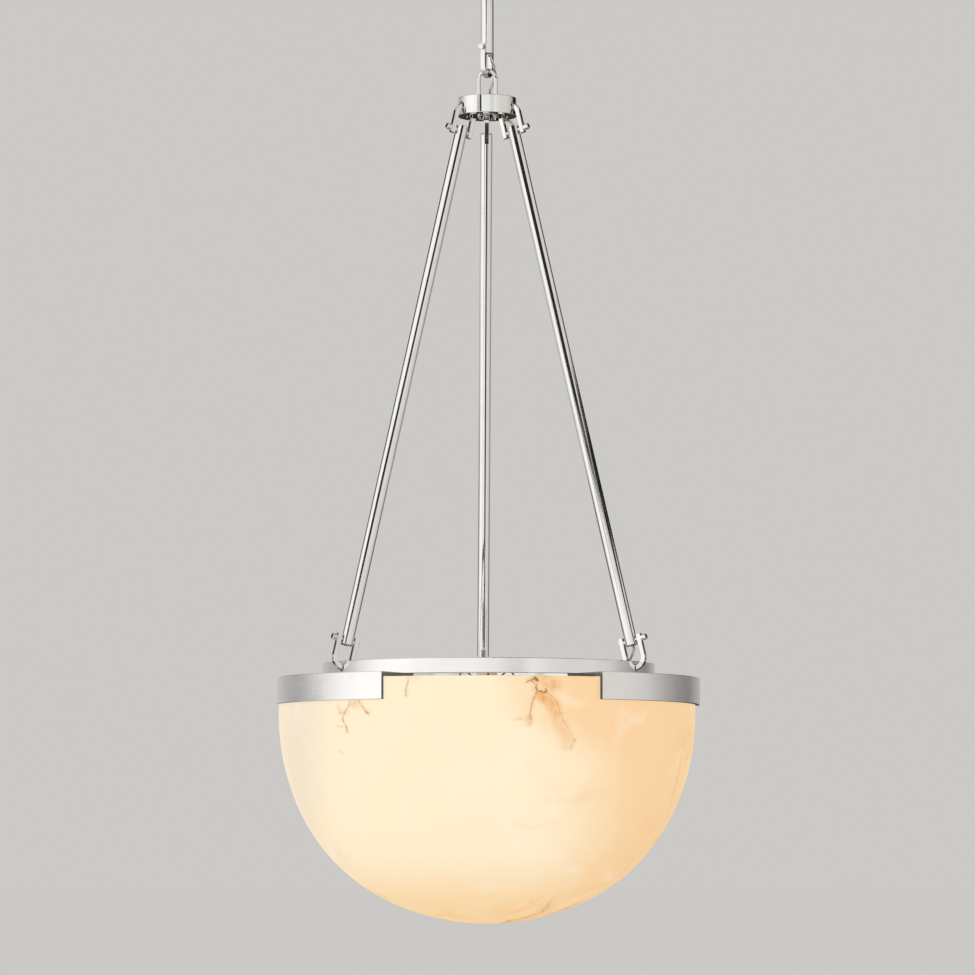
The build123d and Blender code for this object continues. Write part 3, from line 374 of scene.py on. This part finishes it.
print("materials")
nickel = metal("polishedNickel")
brushed = metal("brushedNickel")
turned = metal("turnedNickel")
zinc = metal("zincSteel")
steel = metal("brightSteel")
brass = metal("yellowBrass")
porcelain = plainFinish("glazedPorcelain", light(240, 236, 226), light(222, 214, 198), 0.16, 30.0, 0.05,
                        {"Coat Weight": 0.5, "Coat Roughness": 0.05})
rubber = plainFinish("darkRubber", light(46, 44, 42), light(30, 29, 28), 0.62, 80.0, 0.25)
padFoam = plainFinish("softPad", light(214, 208, 196), light(188, 180, 166), 0.70, 120.0, 0.3)
washerClear = plainFinish("clearWasher", light(236, 232, 222), light(214, 206, 192), 0.25, 60.0, 0.08)
terminalCream = plainFinish("terminalPlastic", light(226, 218, 200), light(206, 196, 176), 0.42, 50.0, 0.12)
opal = plainFinish("opalGlass", light(250, 244, 232), light(244, 232, 208), 0.12, 20.0, 0.02,
                   {"Emission Color": (1.0, 0.80, 0.55, 1.0), "Emission Strength": 2.6, "Coat Weight": 0.3})
cableSkin = twistedCable("twistedCable")


creaseAngle = radians(35.0)                              # edges sharper than this stay sharp


def meshObject(name, bm, material):
    mesh = bpy.data.meshes.new(name)
    bmesh.ops.recalc_face_normals(bm, faces=bm.faces)
    for edge in bm.edges:
        edge.smooth = edge.calc_face_angle(0.0) < creaseAngle
    for face in bm.faces:
        face.smooth = True
    bm.to_mesh(mesh)
    bm.free()
    made = bpy.data.objects.new(name, mesh)
    bpy.context.scene.collection.objects.link(made)
    mesh.materials.append(material)
    return made


def dress(material, *names):
    for name in names:
        nodes[name].data.materials.clear()
        nodes[name].data.materials.append(material)


def put(piece, body, node):                        # one piece onto its body, in place of a CAD node
    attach(piece, body)
    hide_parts(node)
    return piece


def spot(angle, radius, aside, level):                   # a point by its angle round the lamp's axis
    turn = radians(angle)
    return Vector((radius * cos(turn) - aside * sin(turn), radius * sin(turn) + aside * cos(turn), level))


# Camera, where the photograph's lens stood
view = dict(place=(-0.1416, -5.45, -1.2776), tilt=4.09, yaw=-1.494, lens=167.45, sensor=36.0, rise=0.05,
            size=975)


def setCamera():
    data = bpy.data.cameras.new("camera")
    data.lens = view["lens"]
    data.sensor_width = view["sensor"]
    data.shift_y = view["rise"]
    data.clip_end = 200.0
    camera = bpy.data.objects.new("camera", data)
    camera.location = view["place"]
    camera.rotation_euler = (radians(90 + view["tilt"]), 0.0, radians(view["yaw"]))
    bpy.context.scene.collection.objects.link(camera)
    bpy.context.scene.camera = camera
    return camera


camera = setCamera()


def pixelRay(px, py):                                    # the direction of a photograph's pixel
    scale = view["sensor"] / view["lens"] / view["size"]
    half = view["size"] / 2
    rise = view["rise"] * view["sensor"] / view["lens"]
    return camera.rotation_euler.to_matrix() @ Vector(((px - half) * scale, (half - py) * scale + rise, -1.0))


# Studio: pale surroundings, what the polished metal sees, and three soft lamps
studio = dict(
    backdrop=light(204, 202, 198), plain=0.60,
    # what shines in the metal from each side: azimuth from behind the camera, screen level
    sides=[(-180, 205), (-157, 190), (-141, 175), (-126, 167), (-116, 184), (-109, 202), (-98, 225),
           (-87, 243), (-74, 252), (-58, 252), (-46, 244), (-24, 240), (-8, 237), (6, 229), (14, 213),
           (22, 209), (29, 229), (42, 217), (56, 211), (76, 211), (92, 202), (103, 181), (112, 163),
           (123, 146), (131, 135), (139, 131), (149, 152), (159, 167), (168, 176), (174, 90),
           (178, 40)],
    mirror=0.86,
    # zones of those surroundings: degrees round, degrees up, share and tint
    warm=dict(round=(20, 60), share=0.6, tint=(1.0, 0.965, 0.93)),
    above=dict(rise=(32.0, 52.0), share=0.52, tint=(0.05, 0.05, 0.05)),
    below=dict(rise=(-30.0, -60.0), share=0.6),
    ceiling=dict(round=(100.0, 118.0), rise=(21.0, 4.0, 5.0), share=0.96, tint=(0.012, 0.012, 0.012)),
    ground=dict(round=(125.0, 150.0), rise=(-4.0, -8.0), share=0.85, tint=(0.055, 0.04, 0.035)),
    aim=(0, 0, -1.0),
    key=dict(place=(-3.4, -4.6, 0.2), size=2.6, power=105.0, tint=(1.0, 0.98, 0.95)),
    fill=dict(place=(4.2, -2.8, -0.6), size=2.6, power=42.0, tint=(1.0, 0.97, 0.94)),
    rear=dict(place=(0.5, 5.0, 0.6), size=3.0, power=60.0, tint=(1.0, 0.99, 0.98)),
)


def setWorld():
    world = bpy.data.worlds.new("studio")
    world.use_nodes = True
    bpy.context.scene.world = world
    sheet = Sheet(world.node_tree)
    x, y, z = sheet.split(sheet.node("TexCoord", output="Generated"))
    turn = x.math("ARCTAN2", -y) * (180 / pi)
    rise = z.math("ARCSINE") * (180 / pi)
    stops = [((a + 180) / 360, (light(v) / studio["mirror"],) * 3) for a, v in studio["sides"]]
    panels = sheet.node("ValToRGB", {"stops": stops}, {0: turn / 360 + 0.5})
    warm, above, below, ceiling, ground = (studio[n] for n in ("warm", "above", "below", "ceiling", "ground"))
    panels = sheet.colours(turn.smooth(*warm["round"]) * warm["share"], panels, warm["tint"], "MULTIPLY")
    # dimmer above and below, with a dark band of ceiling and a dark floor far behind
    ends = rise.smooth(*above["rise"]) * above["share"] + rise.smooth(*below["rise"]) * below["share"]
    band = abs(turn).smooth(*ceiling["round"]) * rise.band(*ceiling["rise"])
    dark = abs(turn).smooth(*ground["round"]) * rise.smooth(*ground["rise"])
    panels = sheet.colours(ends, panels, above["tint"])
    panels = sheet.colours(dark * ground["share"], panels, ground["tint"])
    panels = sheet.colours(band * ceiling["share"], panels, ceiling["tint"])
    path = sheet.node("LightPath")
    shade = studio["plain"]
    colour = sheet.colours(path.other("Is Glossy Ray"), (shade, shade, shade * 0.99), panels)
    straight = path.other("Is Camera Ray").most(path.other("Is Transmission Ray"))
    colour = sheet.colours(straight, colour, studio["backdrop"])
    background = sheet.node("Background", inputs={"Color": colour, "Strength": 1.0})
    sheet.node("OutputWorld", inputs={"Surface": background})


# Black cards round the lamp that only the polished metal sees. Each row has two points,
# as degrees round from behind the camera and level in metres.
cardReach = 4.9
cards = {
    "overhead": (0.98, [((-42, 1.02), (-42, 1.38)), ((-34, 0.84), (-34, 1.50)), ((-26, 0.68), (-26, 1.58)),
                        ((-17, 0.46), (-17, 1.78)), ((-8, 0.44), (-8, 2.25)), ((0, 0.62), (0, 2.20)),
                        ((6, 0.72), (6, 2.20)), ((12, 0.88), (12, 2.30)), ((22, 0.92), (22, 2.50)),
                        ((30, 0.96), (30, 2.45)), ((36, 1.25), (36, 2.20))]),
    "side": (0.98, [((38, 1.00), (38, 1.40)), ((45, 0.78), (45, 1.52)), ((54, 0.80), (54, 1.62)),
                    ((72, 1.10), (72, 1.76)), ((90, 1.04), (90, 1.52)), ((100, 0.88), (100, 1.46)),
                    ((115, 0.46), (115, 1.12)), ((132, -0.06), (132, 0.86)), ((152, -0.06), (152, 0.70))]),
    "stand": (0.97, [((-31, -0.10), (-23, -0.10)), ((-31.5, 0.46), (-22, 0.46)), ((-33, 0.55), (-22, 0.55))]),
    "stemLine": (0.90, [((-23, 0.59), (1, 0.59)), ((-23, 0.80), (1, 0.80))]),
    "stripe": (0.55, [((-41, 0.36), (-32, 0.36)), ((-41, 0.50), (-32, 0.50))]),
    "low": (0.98, [((-8, -1.80), (26, -1.80)), ((-6, -2.26), (28, -2.26)), ((0, -2.74), (34, -2.74)),
                   ((6, -3.22), (40, -3.22)), ((9, -3.60), (43, -3.60))]),
    "leftEdge": (0.65, [((-150, -1.55), (-150, -1.00)), ((-97, -1.55), (-97, -1.00))]),
    "rightEdge": (0.80, [((116, -1.42), (116, -1.00)), ((156, -1.42), (156, -1.00))]),
}


def softBlack(strength):                                 # black in the middle, fading out at the edges
    material, sheet = newMaterial("blackCard")
    along, across, _ = sheet.split(sheet.node("UVMap"))
    fade = (0.5 - abs(along - 0.5)).smooth(0.0, 0.06) * (0.5 - abs(across - 0.5)).smooth(0.0, 0.16)
    sheet.skin({"Base Color": (0.01, 0.01, 0.01, 1.0), "Roughness": 1.0, "Specular IOR Level": 0.0,
                "Alpha": fade * strength})
    return material


def addCard(name, strength, rows):
    bm = bmesh.new()
    mapping = bm.loops.layers.uv.new("spread")
    made = [[bm.verts.new(spot(a - 90, cardReach, 0, z)) for a, z in row] for row in rows]
    steps = len(rows) - 1
    for i, (a, b) in enumerate(zip(made, made[1:])):
        face = bm.faces.new((a[0], b[0], b[1], a[1]))
        for loop, (u, v) in zip(face.loops, ((i, 0), (i + 1, 0), (i + 1, 1), (i, 1))):
            loop[mapping].uv = (u / steps, v)
    card = meshObject(f"card_{name}", bm, softBlack(strength))
    card.visible_camera = False
    card.visible_diffuse = False
    card.visible_transmission = False
    card.visible_shadow = False


def addLamp(name, setup):
    data = bpy.data.lights.new(name, "AREA")
    data.size = setup["size"]
    data.energy = setup["power"]
    data.color = setup["tint"]
    lamp = bpy.data.objects.new(name, data)
    lamp.location = setup["place"]
    lamp.rotation_euler = (Vector(studio["aim"]) - lamp.location).to_track_quat("-Z", "Y").to_euler()
    lamp.visible_glossy = False
    bpy.context.scene.collection.objects.link(lamp)


# Floor: its face looks down, and from below it is clear
floorLook = dict(radius=60.0, level=-1.75, seen=(light(205, 203, 199), light(203, 201, 197)),
                 pale=(light(244, 242, 238), light(240, 238, 234)), evenness=0.88)


def addFloor():
    look = floorLook
    bm = bmesh.new()
    bmesh.ops.create_circle(bm, cap_ends=True, radius=look["radius"], segments=96,
                            matrix=Matrix.Translation((0, 0, look["level"])))
    material, sheet = newMaterial("paleFloor")
    clouds = sheet.noise(1.5, 3.0, 0.5)
    plain = sheet.node("BsdfPrincipled", inputs={"Base Color": sheet.colours(clouds, *look["pale"]),
                                                 "Roughness": 0.9, "Specular IOR Level": 0.0})
    even = sheet.node("Emission", inputs={"Color": sheet.colours(clouds, *look["seen"])})
    direct = sheet.node("LightPath", output="Is Camera Ray")
    mixed = sheet.node("MixShader", inputs={0: direct * look["evenness"], 1: plain, 2: even})
    above = sheet.node("NewGeometry", output="Backfacing")
    sided = sheet.node("MixShader", inputs={0: above, 1: sheet.node("BsdfTransparent"), 2: mixed})
    sheet.node("OutputMaterial", inputs={"Surface": sided})
    floor = meshObject("floor", bm, material)
    floor.visible_glossy = False


setWorld()
for lampName in ("key", "fill", "rear"):
    addLamp(lampName, studio[lampName])
addFloor()
for name, (strength, rows) in cards.items():
    addCard(name, strength, rows)
bpy.context.scene.view_settings.view_transform = "Standard"
print("camera and studio")


# Bowl: turned from one blank, a straight rim and three arcs, one wall all over
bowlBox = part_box("bowl")
bowlSizes = dict(radius=bowlBox[1].x, rim=bowlBox[1].z, wall=0.012, straight=0.0375, sideArc=0.274,
                 baseArc=0.274, turn=25.0, edge=0.0015, around=288, steps=(12, 18, 14), rimRows=(0.35, 0.7))


def bowlOutline(inset):                                  # radius and level from the rim down to the middle
    size = bowlSizes
    turn = radians(size["turn"])
    rest = size["radius"] - size["sideArc"] * (1 - cos(turn)) - size["baseArc"] * sin(turn)
    shoulderArc = rest / (cos(turn) - sin(turn))
    centre = Vector((size["radius"] - size["sideArc"], size["rim"] - size["straight"]))
    arcs = [(centre.copy(), size["sideArc"], 0.0, turn)]
    centre += Vector((cos(turn), -sin(turn))) * (size["sideArc"] - shoulderArc)
    arcs.append((centre.copy(), shoulderArc, turn, pi / 2 - turn))
    centre += Vector((sin(turn), -cos(turn))) * (shoulderArc - size["baseArc"])
    arcs.append((centre.copy(), size["baseArc"], pi / 2 - turn, pi / 2))
    line = []
    for (middle, radius, start, end), steps in zip(arcs, size["steps"]):
        for i in range(1 if line else 0, steps + 1):
            a = start + (end - start) * i / steps
            line.append(Vector((middle.x + (radius - inset) * cos(a), middle.y - (radius - inset) * sin(a))))
    line[-1].x = 0.0
    return line


def skinRows(bm, rows, place, around):                   # rows of level and radii, turned about an axis
    rings = []
    for level, radii in rows:                            # a row with no radii is one point of the axis
        ring = [(r * cos(tau * i / around), r * sin(tau * i / around), level)
                for i, r in enumerate(radii or [0.0])]
        rings.append([bm.verts.new(place @ Vector(point)) for point in ring])
    for upper, lower in zip(rings, rings[1:]):
        for i in range(around):
            j = (i + 1) % around
            corners = [upper[i % len(upper)], upper[j % len(upper)],
                       lower[j % len(lower)], lower[i % len(lower)]]
            corners = list(dict.fromkeys(corners))       # a lone point counts once
            if len(corners) > 2:
                bm.faces.new(corners)
    return rings


def lathe(bm, outline, around):                          # turns points of radius and level about the axis
    rows = [(point.y, [point.x] * around if point.x > 1e-7 else None) for point in outline]
    skinRows(bm, rows, Matrix(), around)


def roundCorner(outer, corner, inner, radius, steps=4):  # points of a small arc in place of a corner
    a = (outer - corner).normalized()
    b = (inner - corner).normalized()
    return [corner + a * radius * (1 - sin(pi / 2 * i / steps)) + b * radius * (1 - cos(pi / 2 * i / steps))
            for i in range(steps + 1)]


def makeBowl():
    size = bowlSizes
    outer, inner = bowlOutline(0.0), bowlOutline(size["wall"])
    outerTop = Vector((size["radius"], size["rim"]))
    innerTop = Vector((size["radius"] - size["wall"], size["rim"]))
    wallPoints = [outer[0] + Vector((0, size["straight"] * share)) for share in size["rimRows"]]
    rim = roundCorner(outer[0], outerTop, innerTop, size["edge"])
    rim += roundCorner(outerTop, innerTop, inner[0], size["edge"])
    bm = bmesh.new()
    lathe(bm, list(reversed(outer)) + wallPoints + rim + inner, size["around"])
    for face in bm.faces:
        face.material_index = 1 if isInside(face.calc_center_median()) else 0
    return meshObject("alabaster_bowl", bm, opal)        # its stone comes once pixels can be traced onto it


def isInside(point):                                     # true on the hollow side of the bowl's wall
    size = bowlSizes
    middle = bowlOutline(size["wall"] / 2)
    reach = hypot(point.x, point.y)
    if point.z > middle[0].y:
        return reach < middle[0].x
    for a, b in zip(middle, middle[1:]):
        if b.y <= point.z <= a.y:
            share = (point.z - a.y) / (b.y - a.y) if b.y != a.y else 0.0
            return reach < a.x + (b.x - a.x) * share
    return False


bowl = makeBowl()


def onBowl(px, py):                                      # where a photograph's pixel lands on the bowl
    hit, point, _, _ = bowl.ray_cast(camera.location, pixelRay(px, py).normalized())
    return point if hit else Vector((0, -bowlSizes["radius"], bowlSizes["rim"]))


bowl.data.materials.clear()
bowl.data.materials.append(alabaster("alabasterOutside", stone["glow"], onBowl))
bowl.data.materials.append(alabaster("alabasterInside", stone["insideGlow"]))
put(bowl, "bowl_assembly", "bowl")
bowl.visible_glossy = False
print("bowl")


# Bulbs: opal glass on a threaded cap
bulbSizes = dict(circle=0.038, angles=(30, 150, 270), globe=0.030, neck=0.0145, neckLength=0.008,
                 capRadius=0.0132, capLength=0.026, start=0.002, plain=0.008, pitch=0.0035, depth=0.0007,
                 lip=0.94, lipDrop=0.001, collar=0.93, shoulder=0.0075, shoulderDrop=0.002,
                 contact=0.0045, contactRise=0.0015, around=48, steps=5, globeSteps=24)


def threadRadii(radius, depth, turns, around):           # radii round a thread, so many turns along it
    return [radius - depth * (0.5 - 0.5 * cos(tau * (turns + i / around))) for i in range(around)]


def bulbGlass(low, capEnd):                              # outline from the cap's end to the globe's foot
    size = bulbSizes
    globeLevel = low.z + size["globe"]
    neckLevel = capEnd - size["neckLength"]
    fall = neckLevel - globeLevel
    reach = hypot(fall, size["neck"])
    touch = atan2(size["globe"], sqrt(reach**2 - size["globe"]**2))
    tangent = pi / 2 - (atan2(size["neck"], fall) + pi / 2 - touch)
    line = [Vector((size["capRadius"] * size["lip"], capEnd)),
            Vector((size["capRadius"], capEnd - size["lipDrop"])), Vector((size["neck"], neckLevel))]
    for i in range(1, size["globeSteps"] + 1):
        turn = tangent + (-pi / 2 - tangent) * i / size["globeSteps"]
        line.append(Vector((size["globe"] * cos(turn), globeLevel + size["globe"] * sin(turn))))
    line[-1].x = 0.0
    return line


def makeBulb(number, angle):
    size = bulbSizes
    around = size["around"]
    low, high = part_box(f"bulb_{number}")
    centre = spot(angle, size["circle"], 0, 0)
    capTop = high.z
    capEnd = capTop - size["capLength"]
    bm = bmesh.new()
    lathe(bm, bulbGlass(low, capEnd), around)
    bmesh.ops.translate(bm, verts=bm.verts, vec=centre)
    globe = put(meshObject(f"bulb_glass_{number}", bm, opal), "bowl_assembly", f"bulb_{number}")
    globe.visible_glossy = False

    # the cap: a rolled thread, then a shoulder up to the contact
    bm = bmesh.new()
    levels = int((size["capLength"] - size["plain"]) / size["pitch"] * size["steps"])
    rows = []
    for k in range(levels + 1):
        radii = threadRadii(size["capRadius"], size["depth"], k / size["steps"], around)
        rows.append((capEnd + size["start"] + size["pitch"] * k / size["steps"], radii))
    bm.faces.new(skinRows(bm, rows, Matrix(), around)[0])
    lathe(bm, [Vector((size["capRadius"] * size["collar"], rows[-1][0])),
               Vector((size["shoulder"], capTop - size["shoulderDrop"])),
               Vector((size["contact"], capTop - size["contactRise"])),
               Vector((size["contact"], capTop)), Vector((0, capTop))], around)
    bmesh.ops.translate(bm, verts=bm.verts, vec=centre)
    cap = meshObject(f"bulb_cap_{number}", bm, steel)
    cap.parent = globe


for number, angle in enumerate(bulbSizes["angles"], 1):
    makeBulb(number, angle)
print("bulbs")


# Screws: a round head with a hex socket, and a rolled thread on the shank
screwSizes = dict(edge=0.0008, point=0.0006, depth=0.00028, chamfer=0.0002, around=24, steps=5,
                  slot="zinc_steel")
screwKinds = {
    "bracket_screws": dict(way="down", head=0.0037, rise=0.0026, shank=0.002, pitch=0.0007, socket=0.00125),
    "plate_screws": dict(way="up", head=0.0037, rise=0.0026, shank=0.002, pitch=0.0007, socket=0.00125),
    "bowl_screws": dict(way="outward", head=0.00475, rise=0.0034, shank=0.0025, pitch=0.0008, socket=0.0015),
}


def looseSolids(node):                                   # the corner points of each separate solid in a node
    bm = bmesh.new()
    bm.from_mesh(nodes[node].data)
    bmesh.ops.remove_doubles(bm, verts=bm.verts, dist=1e-7)
    seen, solids = set(), []
    for first in bm.verts:
        if first not in seen:
            seen.add(first)
            group = [first]
            for vert in group:                           # grows by each point's neighbours
                near = [other for other in (e.other_vert(vert) for e in vert.link_edges) if other not in seen]
                seen.update(near)
                group.extend(near)
            solids.append([vert.co.copy() for vert in group])
    bm.free()
    return solids


def span(points, axis):                                  # where the points start and end along an axis
    along = [p.dot(axis) for p in points]
    return min(along), max(along)


def threadRows(radius, depth, pitch, length, size):      # a thread from its far end back to its start
    count = int(length / pitch * size["steps"])
    rows = []
    for k in range(count + 1):
        back = length * k / count
        rows.append((length - back, threadRadii(radius, depth, back / pitch, size["around"])))
    return rows


def headRows(kind):                                      # a round head, its edge rounded over to a hex socket
    rise, edge, around = kind["rise"], screwSizes["edge"], screwSizes["around"]
    hexagon = [kind["socket"] / cos((tau * i / around) % (pi / 3) - pi / 6) for i in range(around)]
    rows = [(0.0, [kind["head"]] * around)]
    for k in range(5):
        turn = pi / 2 * k / 4
        rows.append((-rise + edge * (1 - sin(turn)), [kind["head"] - edge * (1 - cos(turn))] * around))
    return rows + [(-rise, [r * 1.1 for r in hexagon]), (-rise + screwSizes["chamfer"], hexagon),
                   (-rise * 0.4, hexagon), (-rise * 0.3, None)]


def makeScrews(node):
    size, kind = screwSizes, screwKinds[node]
    bm = bmesh.new()
    for points in looseSolids(node):
        middle = sum(points, Vector()) / len(points)
        way = {"down": Vector((0, 0, -1)), "up": Vector((0, 0, 1)),
               "outward": Vector((middle.x, middle.y, 0)).normalized()}[kind["way"]]
        side = way.orthogonal().normalized()
        other = way.cross(side)
        centre = sum((axis * sum(span(points, axis)) / 2 for axis in (side, other)), Vector())
        start, end = span(points, way)
        turned = Matrix((side, other, way)).transposed().to_4x4()
        place = Matrix.Translation(centre + way * (start + kind["rise"])) @ turned
        length = end - start - kind["rise"]
        rows = [(length, None), (length, [kind["shank"] - size["point"]] * size["around"])]
        rows += threadRows(kind["shank"], size["depth"], kind["pitch"], length - size["point"], size)
        skinRows(bm, rows + headRows(kind), place, size["around"])
    piece = meshObject(node.replace("screws", "machine_screws"), bm, steel)
    put(piece, "bowl_assembly", node)


for node in screwKinds:
    makeScrews(node)
print("screws")


# Nipples of the lamp holders: a threaded tube, seen above the plate and its nuts
nippleSizes = dict(radius=0.005, bore=0.003, pitch=0.001, depth=0.0004, around=48, steps=6)


def makeNipples():
    size = nippleSizes
    low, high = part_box("holder_nipples")
    length = high.z - low.z
    bm = bmesh.new()
    for angle in bulbSizes["angles"]:
        place = Matrix.Translation(spot(angle, bulbSizes["circle"], 0, low.z))
        bore = [size["bore"]] * size["around"]
        thread = threadRows(size["radius"], size["depth"], size["pitch"], length, size)
        skinRows(bm, [(length, bore)] + thread + [(0.0, bore), (length, bore)], place, size["around"])
    bmesh.ops.remove_doubles(bm, verts=bm.verts, dist=1e-7)
    put(meshObject("threaded_nipples", bm, brass), "bowl_assembly", "holder_nipples")


makeNipples()
print("nipples")


# Cables, each on the route that its CAD tube follows, in metres. The link's cable is in two parts,
# split above the loop.
cableSizes = dict(radius=0.0015, leadRadius=0.0011, leadLevel=-1.06468, split=0.30)
link = dict(angle=337, level=-0.300)
wiredRod = dict(angle=330, lean=radians(14.1953), mouth=0.015, beside=0.0043,
                upper=(0.0315, -0.378185, -1), lower=(0.1985, -1.038391, 1))


def nearRod(radius, aside, level):
    return spot(wiredRod["angle"], radius, aside, level)


def rodSpot(end, beyond):                                # on the cable's line, so far inside the wired rod
    radius, level, way = wiredRod[end]
    lean = wiredRod["lean"]
    along = nearRod(-sin(lean) * way, 0, cos(lean) * way)
    beside = nearRod(cos(lean), 0, sin(lean)).cross(along) * -way * wiredRod["beside"]
    return nearRod(radius, 0, level) + along * (wiredRod["mouth"] + beyond) + beside


def linkSpot(aside, behind, below):
    return spot(link["angle"], aside, behind, link["level"] - below)


mouth = spot(link["angle"], 0.0043, 0, -0.297)
hubEntry = Vector((0.002344, 0.005523, -0.355403))
cableRoutes = {
    "cable_stem": [mouth, (0.0034, -0.0022, -0.240), (0.0018, -0.0033, -0.160), (0.0003, -0.0036, -0.090),
                   (0, -0.0040, -0.048), (0, -0.0038, -0.028), (0, -0.0016, -0.0165), (0, 0.0040, -0.0104),
                   (0, 0.0115, -0.0092), (0, 0.0185, -0.0116), (0, 0.0243, -0.0152), (0, 0.0297, -0.0162)],
    "cable_hub": [hubEntry, (0.0025, 0.0055, -0.3635), (0.0055, 0.0040, -0.371), (0.0125, 0.0004, -0.377),
                  nearRod(0.0225, 0.0057, -0.382), nearRod(0.0305, 0.0048, -0.386),
                  rodSpot("upper", -0.002), rodSpot("upper", 0.003)],
    "cable_rod": [rodSpot("upper", 0.0033), rodSpot("lower", 0.0033)],
    "cable_drop": [rodSpot("lower", 0.003), rodSpot("lower", -0.0035), nearRod(0.19346, 0.0052, -1.03444),
                   nearRod(0.18752, 0.0058, -1.04259), nearRod(0.17942, 0.0052, -1.04802),
                   nearRod(0.17096, 0.0034, -1.05345), nearRod(0.1625, 0.0016, -1.05839),
                   nearRod(0.15206, 0.0004, -1.06308), nearRod(0.12653, 0.0009, -1.06297),
                   nearRod(0.09171, -0.0009, -1.06308), nearRod(0.06037, 0.0006, -1.06297),
                   nearRod(0.036, 0.0004, -1.06168), nearRod(0.02196, 0, -1.0591),
                   nearRod(0.0123, 0, -1.05868)],
}
linkRoute = [mouth - Vector((0, 0, 0.0003)), linkSpot(0.0047, 0.0006, 0.007),
             linkSpot(0.0087, 0.0048, 0.019), linkSpot(0.0084, 0.0063, 0.029),
             linkSpot(0.0033, 0.0064, 0.040), linkSpot(0.0003, 0.0061, 0.049),
             hubEntry + Vector((0, 0, 0.0003))]


def centreLine(points, fineness=12):                     # points read from a smooth spline through the route
    data = bpy.data.curves.new("route", "CURVE")
    data.dimensions = "3D"
    data.resolution_u = fineness
    spline = data.splines.new("NURBS")
    spline.points.add(len(points) - 1)
    for knot, point in zip(spline.points, points):
        knot.co = (*point, 1.0)
    spline.order_u = 3 if len(points) > 2 else 2
    spline.use_endpoint_u = True
    holder = bpy.data.objects.new("route", data)
    mesh = bpy.data.meshes.new_from_object(holder)
    line = [v.co.copy() for v in mesh.vertices]
    bpy.data.objects.remove(holder)
    bpy.data.meshes.remove(mesh)
    return line


def makeTube(name, line, radius, material, around=16):
    bm = bmesh.new()
    mapping = bm.loops.layers.uv.new("lay")
    rings, run = [], [0.0]
    normal = None
    for i, point in enumerate(line):
        ahead = line[min(i + 1, len(line) - 1)] - line[max(i - 1, 0)]
        ahead.normalize()
        side = ahead.orthogonal() if normal is None else normal - ahead * normal.dot(ahead)
        normal = side.normalized()
        other = ahead.cross(normal)
        if i:
            run.append(run[-1] + (point - line[i - 1]).length)
        ring = [normal * cos(tau * k / around) + other * sin(tau * k / around) for k in range(around)]
        rings.append([bm.verts.new(point + way * radius) for way in ring])
    for row, (a, b) in enumerate(zip(rings, rings[1:])):
        for k in range(around):
            j = (k + 1) % around
            face = bm.faces.new((a[k], a[j], b[j], b[k]))
            spread = ((k, row), (k + 1, row), (k + 1, row + 1), (k, row + 1))
            for loop, (u, v) in zip(face.loops, spread):
                loop[mapping].uv = (u / around, run[v])
    bm.faces.new(list(reversed(rings[0])))
    bm.faces.new(rings[-1])
    return meshObject(name, bm, material)


cableBodies = {"cable_stem": "ceiling_fitting", "cable_hub": "hub", "cable_rod": "rod_right",
               "cable_drop": "bowl_assembly"}
for name, route in cableRoutes.items():
    line = centreLine([Vector(p) for p in route], 12 if len(route) > 2 else 40)
    piece = makeTube(name.replace("cable", "mains"), line, cableSizes["radius"], cableSkin)
    put(piece, cableBodies[name], name)
linkLine = centreLine(linkRoute, 16)
split = int(len(linkLine) * cableSizes["split"])
linkUpper = makeTube("mains_link_upper", linkLine[:split + 1], cableSizes["radius"], cableSkin)
linkLower = makeTube("mains_link_lower", linkLine[split:], cableSizes["radius"], cableSkin)
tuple(linkLine[0])
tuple(linkLine[split])
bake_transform(linkUpper)
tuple(linkLine[split])
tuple(linkLine[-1])
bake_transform(linkLower)
for piece in (linkUpper, linkLower):
    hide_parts("cable_link")

leadSkin = plainFinish("leadSleeve", light(150, 108, 74), light(120, 84, 56), 0.35, 60.0, 0.1)
for angle in bulbSizes["angles"]:
    top = cableSizes["leadLevel"]
    route = [spot(angle, 0.0123, 0, top + 0.006), spot(angle, 0.0185, 0.0006, top + 0.0063),
             spot(angle, 0.025, 0.0012, top + 0.013), spot(angle, 0.0315, 0.0008, top + 0.016),
             spot(angle, 0.0372, -0.0002, top + 0.0125), spot(angle, 0.038, 0, top + 0.0055),
             spot(angle, 0.038, 0.0001, top - 0.001)]
    piece = makeTube(f"lamp_lead_{angle}", centreLine(route), cableSizes["leadRadius"], leadSkin, 12)
    put(piece, "bowl_assembly", "lamp_leads")
print("cables")


# The CAD pieces that stay as they are, each in its own finish
dress(zinc, "mounting_strap", "stem_coupling", "coupling_rivets", "stem_set_screws", "canopy_studs",
      "lamp_plate", "holder_nuts")
dress(nickel, "canopy", "canopy_nuts", "stem_collar", "stem_tube", "hub_body", "hub_loop", "rod_back",
      "rod_left", "rod_right")
dress(brushed, "suspension_ring", "rim_bracket_back", "rim_bracket_left", "rim_bracket_right")
dress(turned, "top_shackle", "top_pin", "loop_nuts")
for side in rods:
    dress(turned, f"upper_shackle_{side}", f"upper_pin_{side}", f"lower_shackle_{side}", f"lower_pin_{side}")
dress(rubber, "hub_grommet")
dress(padFoam, "rim_pads")
dress(washerClear, "bowl_washers")
dress(porcelain, "lamp_holder_1", "lamp_holder_2", "lamp_holder_3")
dress(terminalCream, "supply_terminal", "terminal_box", "terminal_cover")
print("finishes")
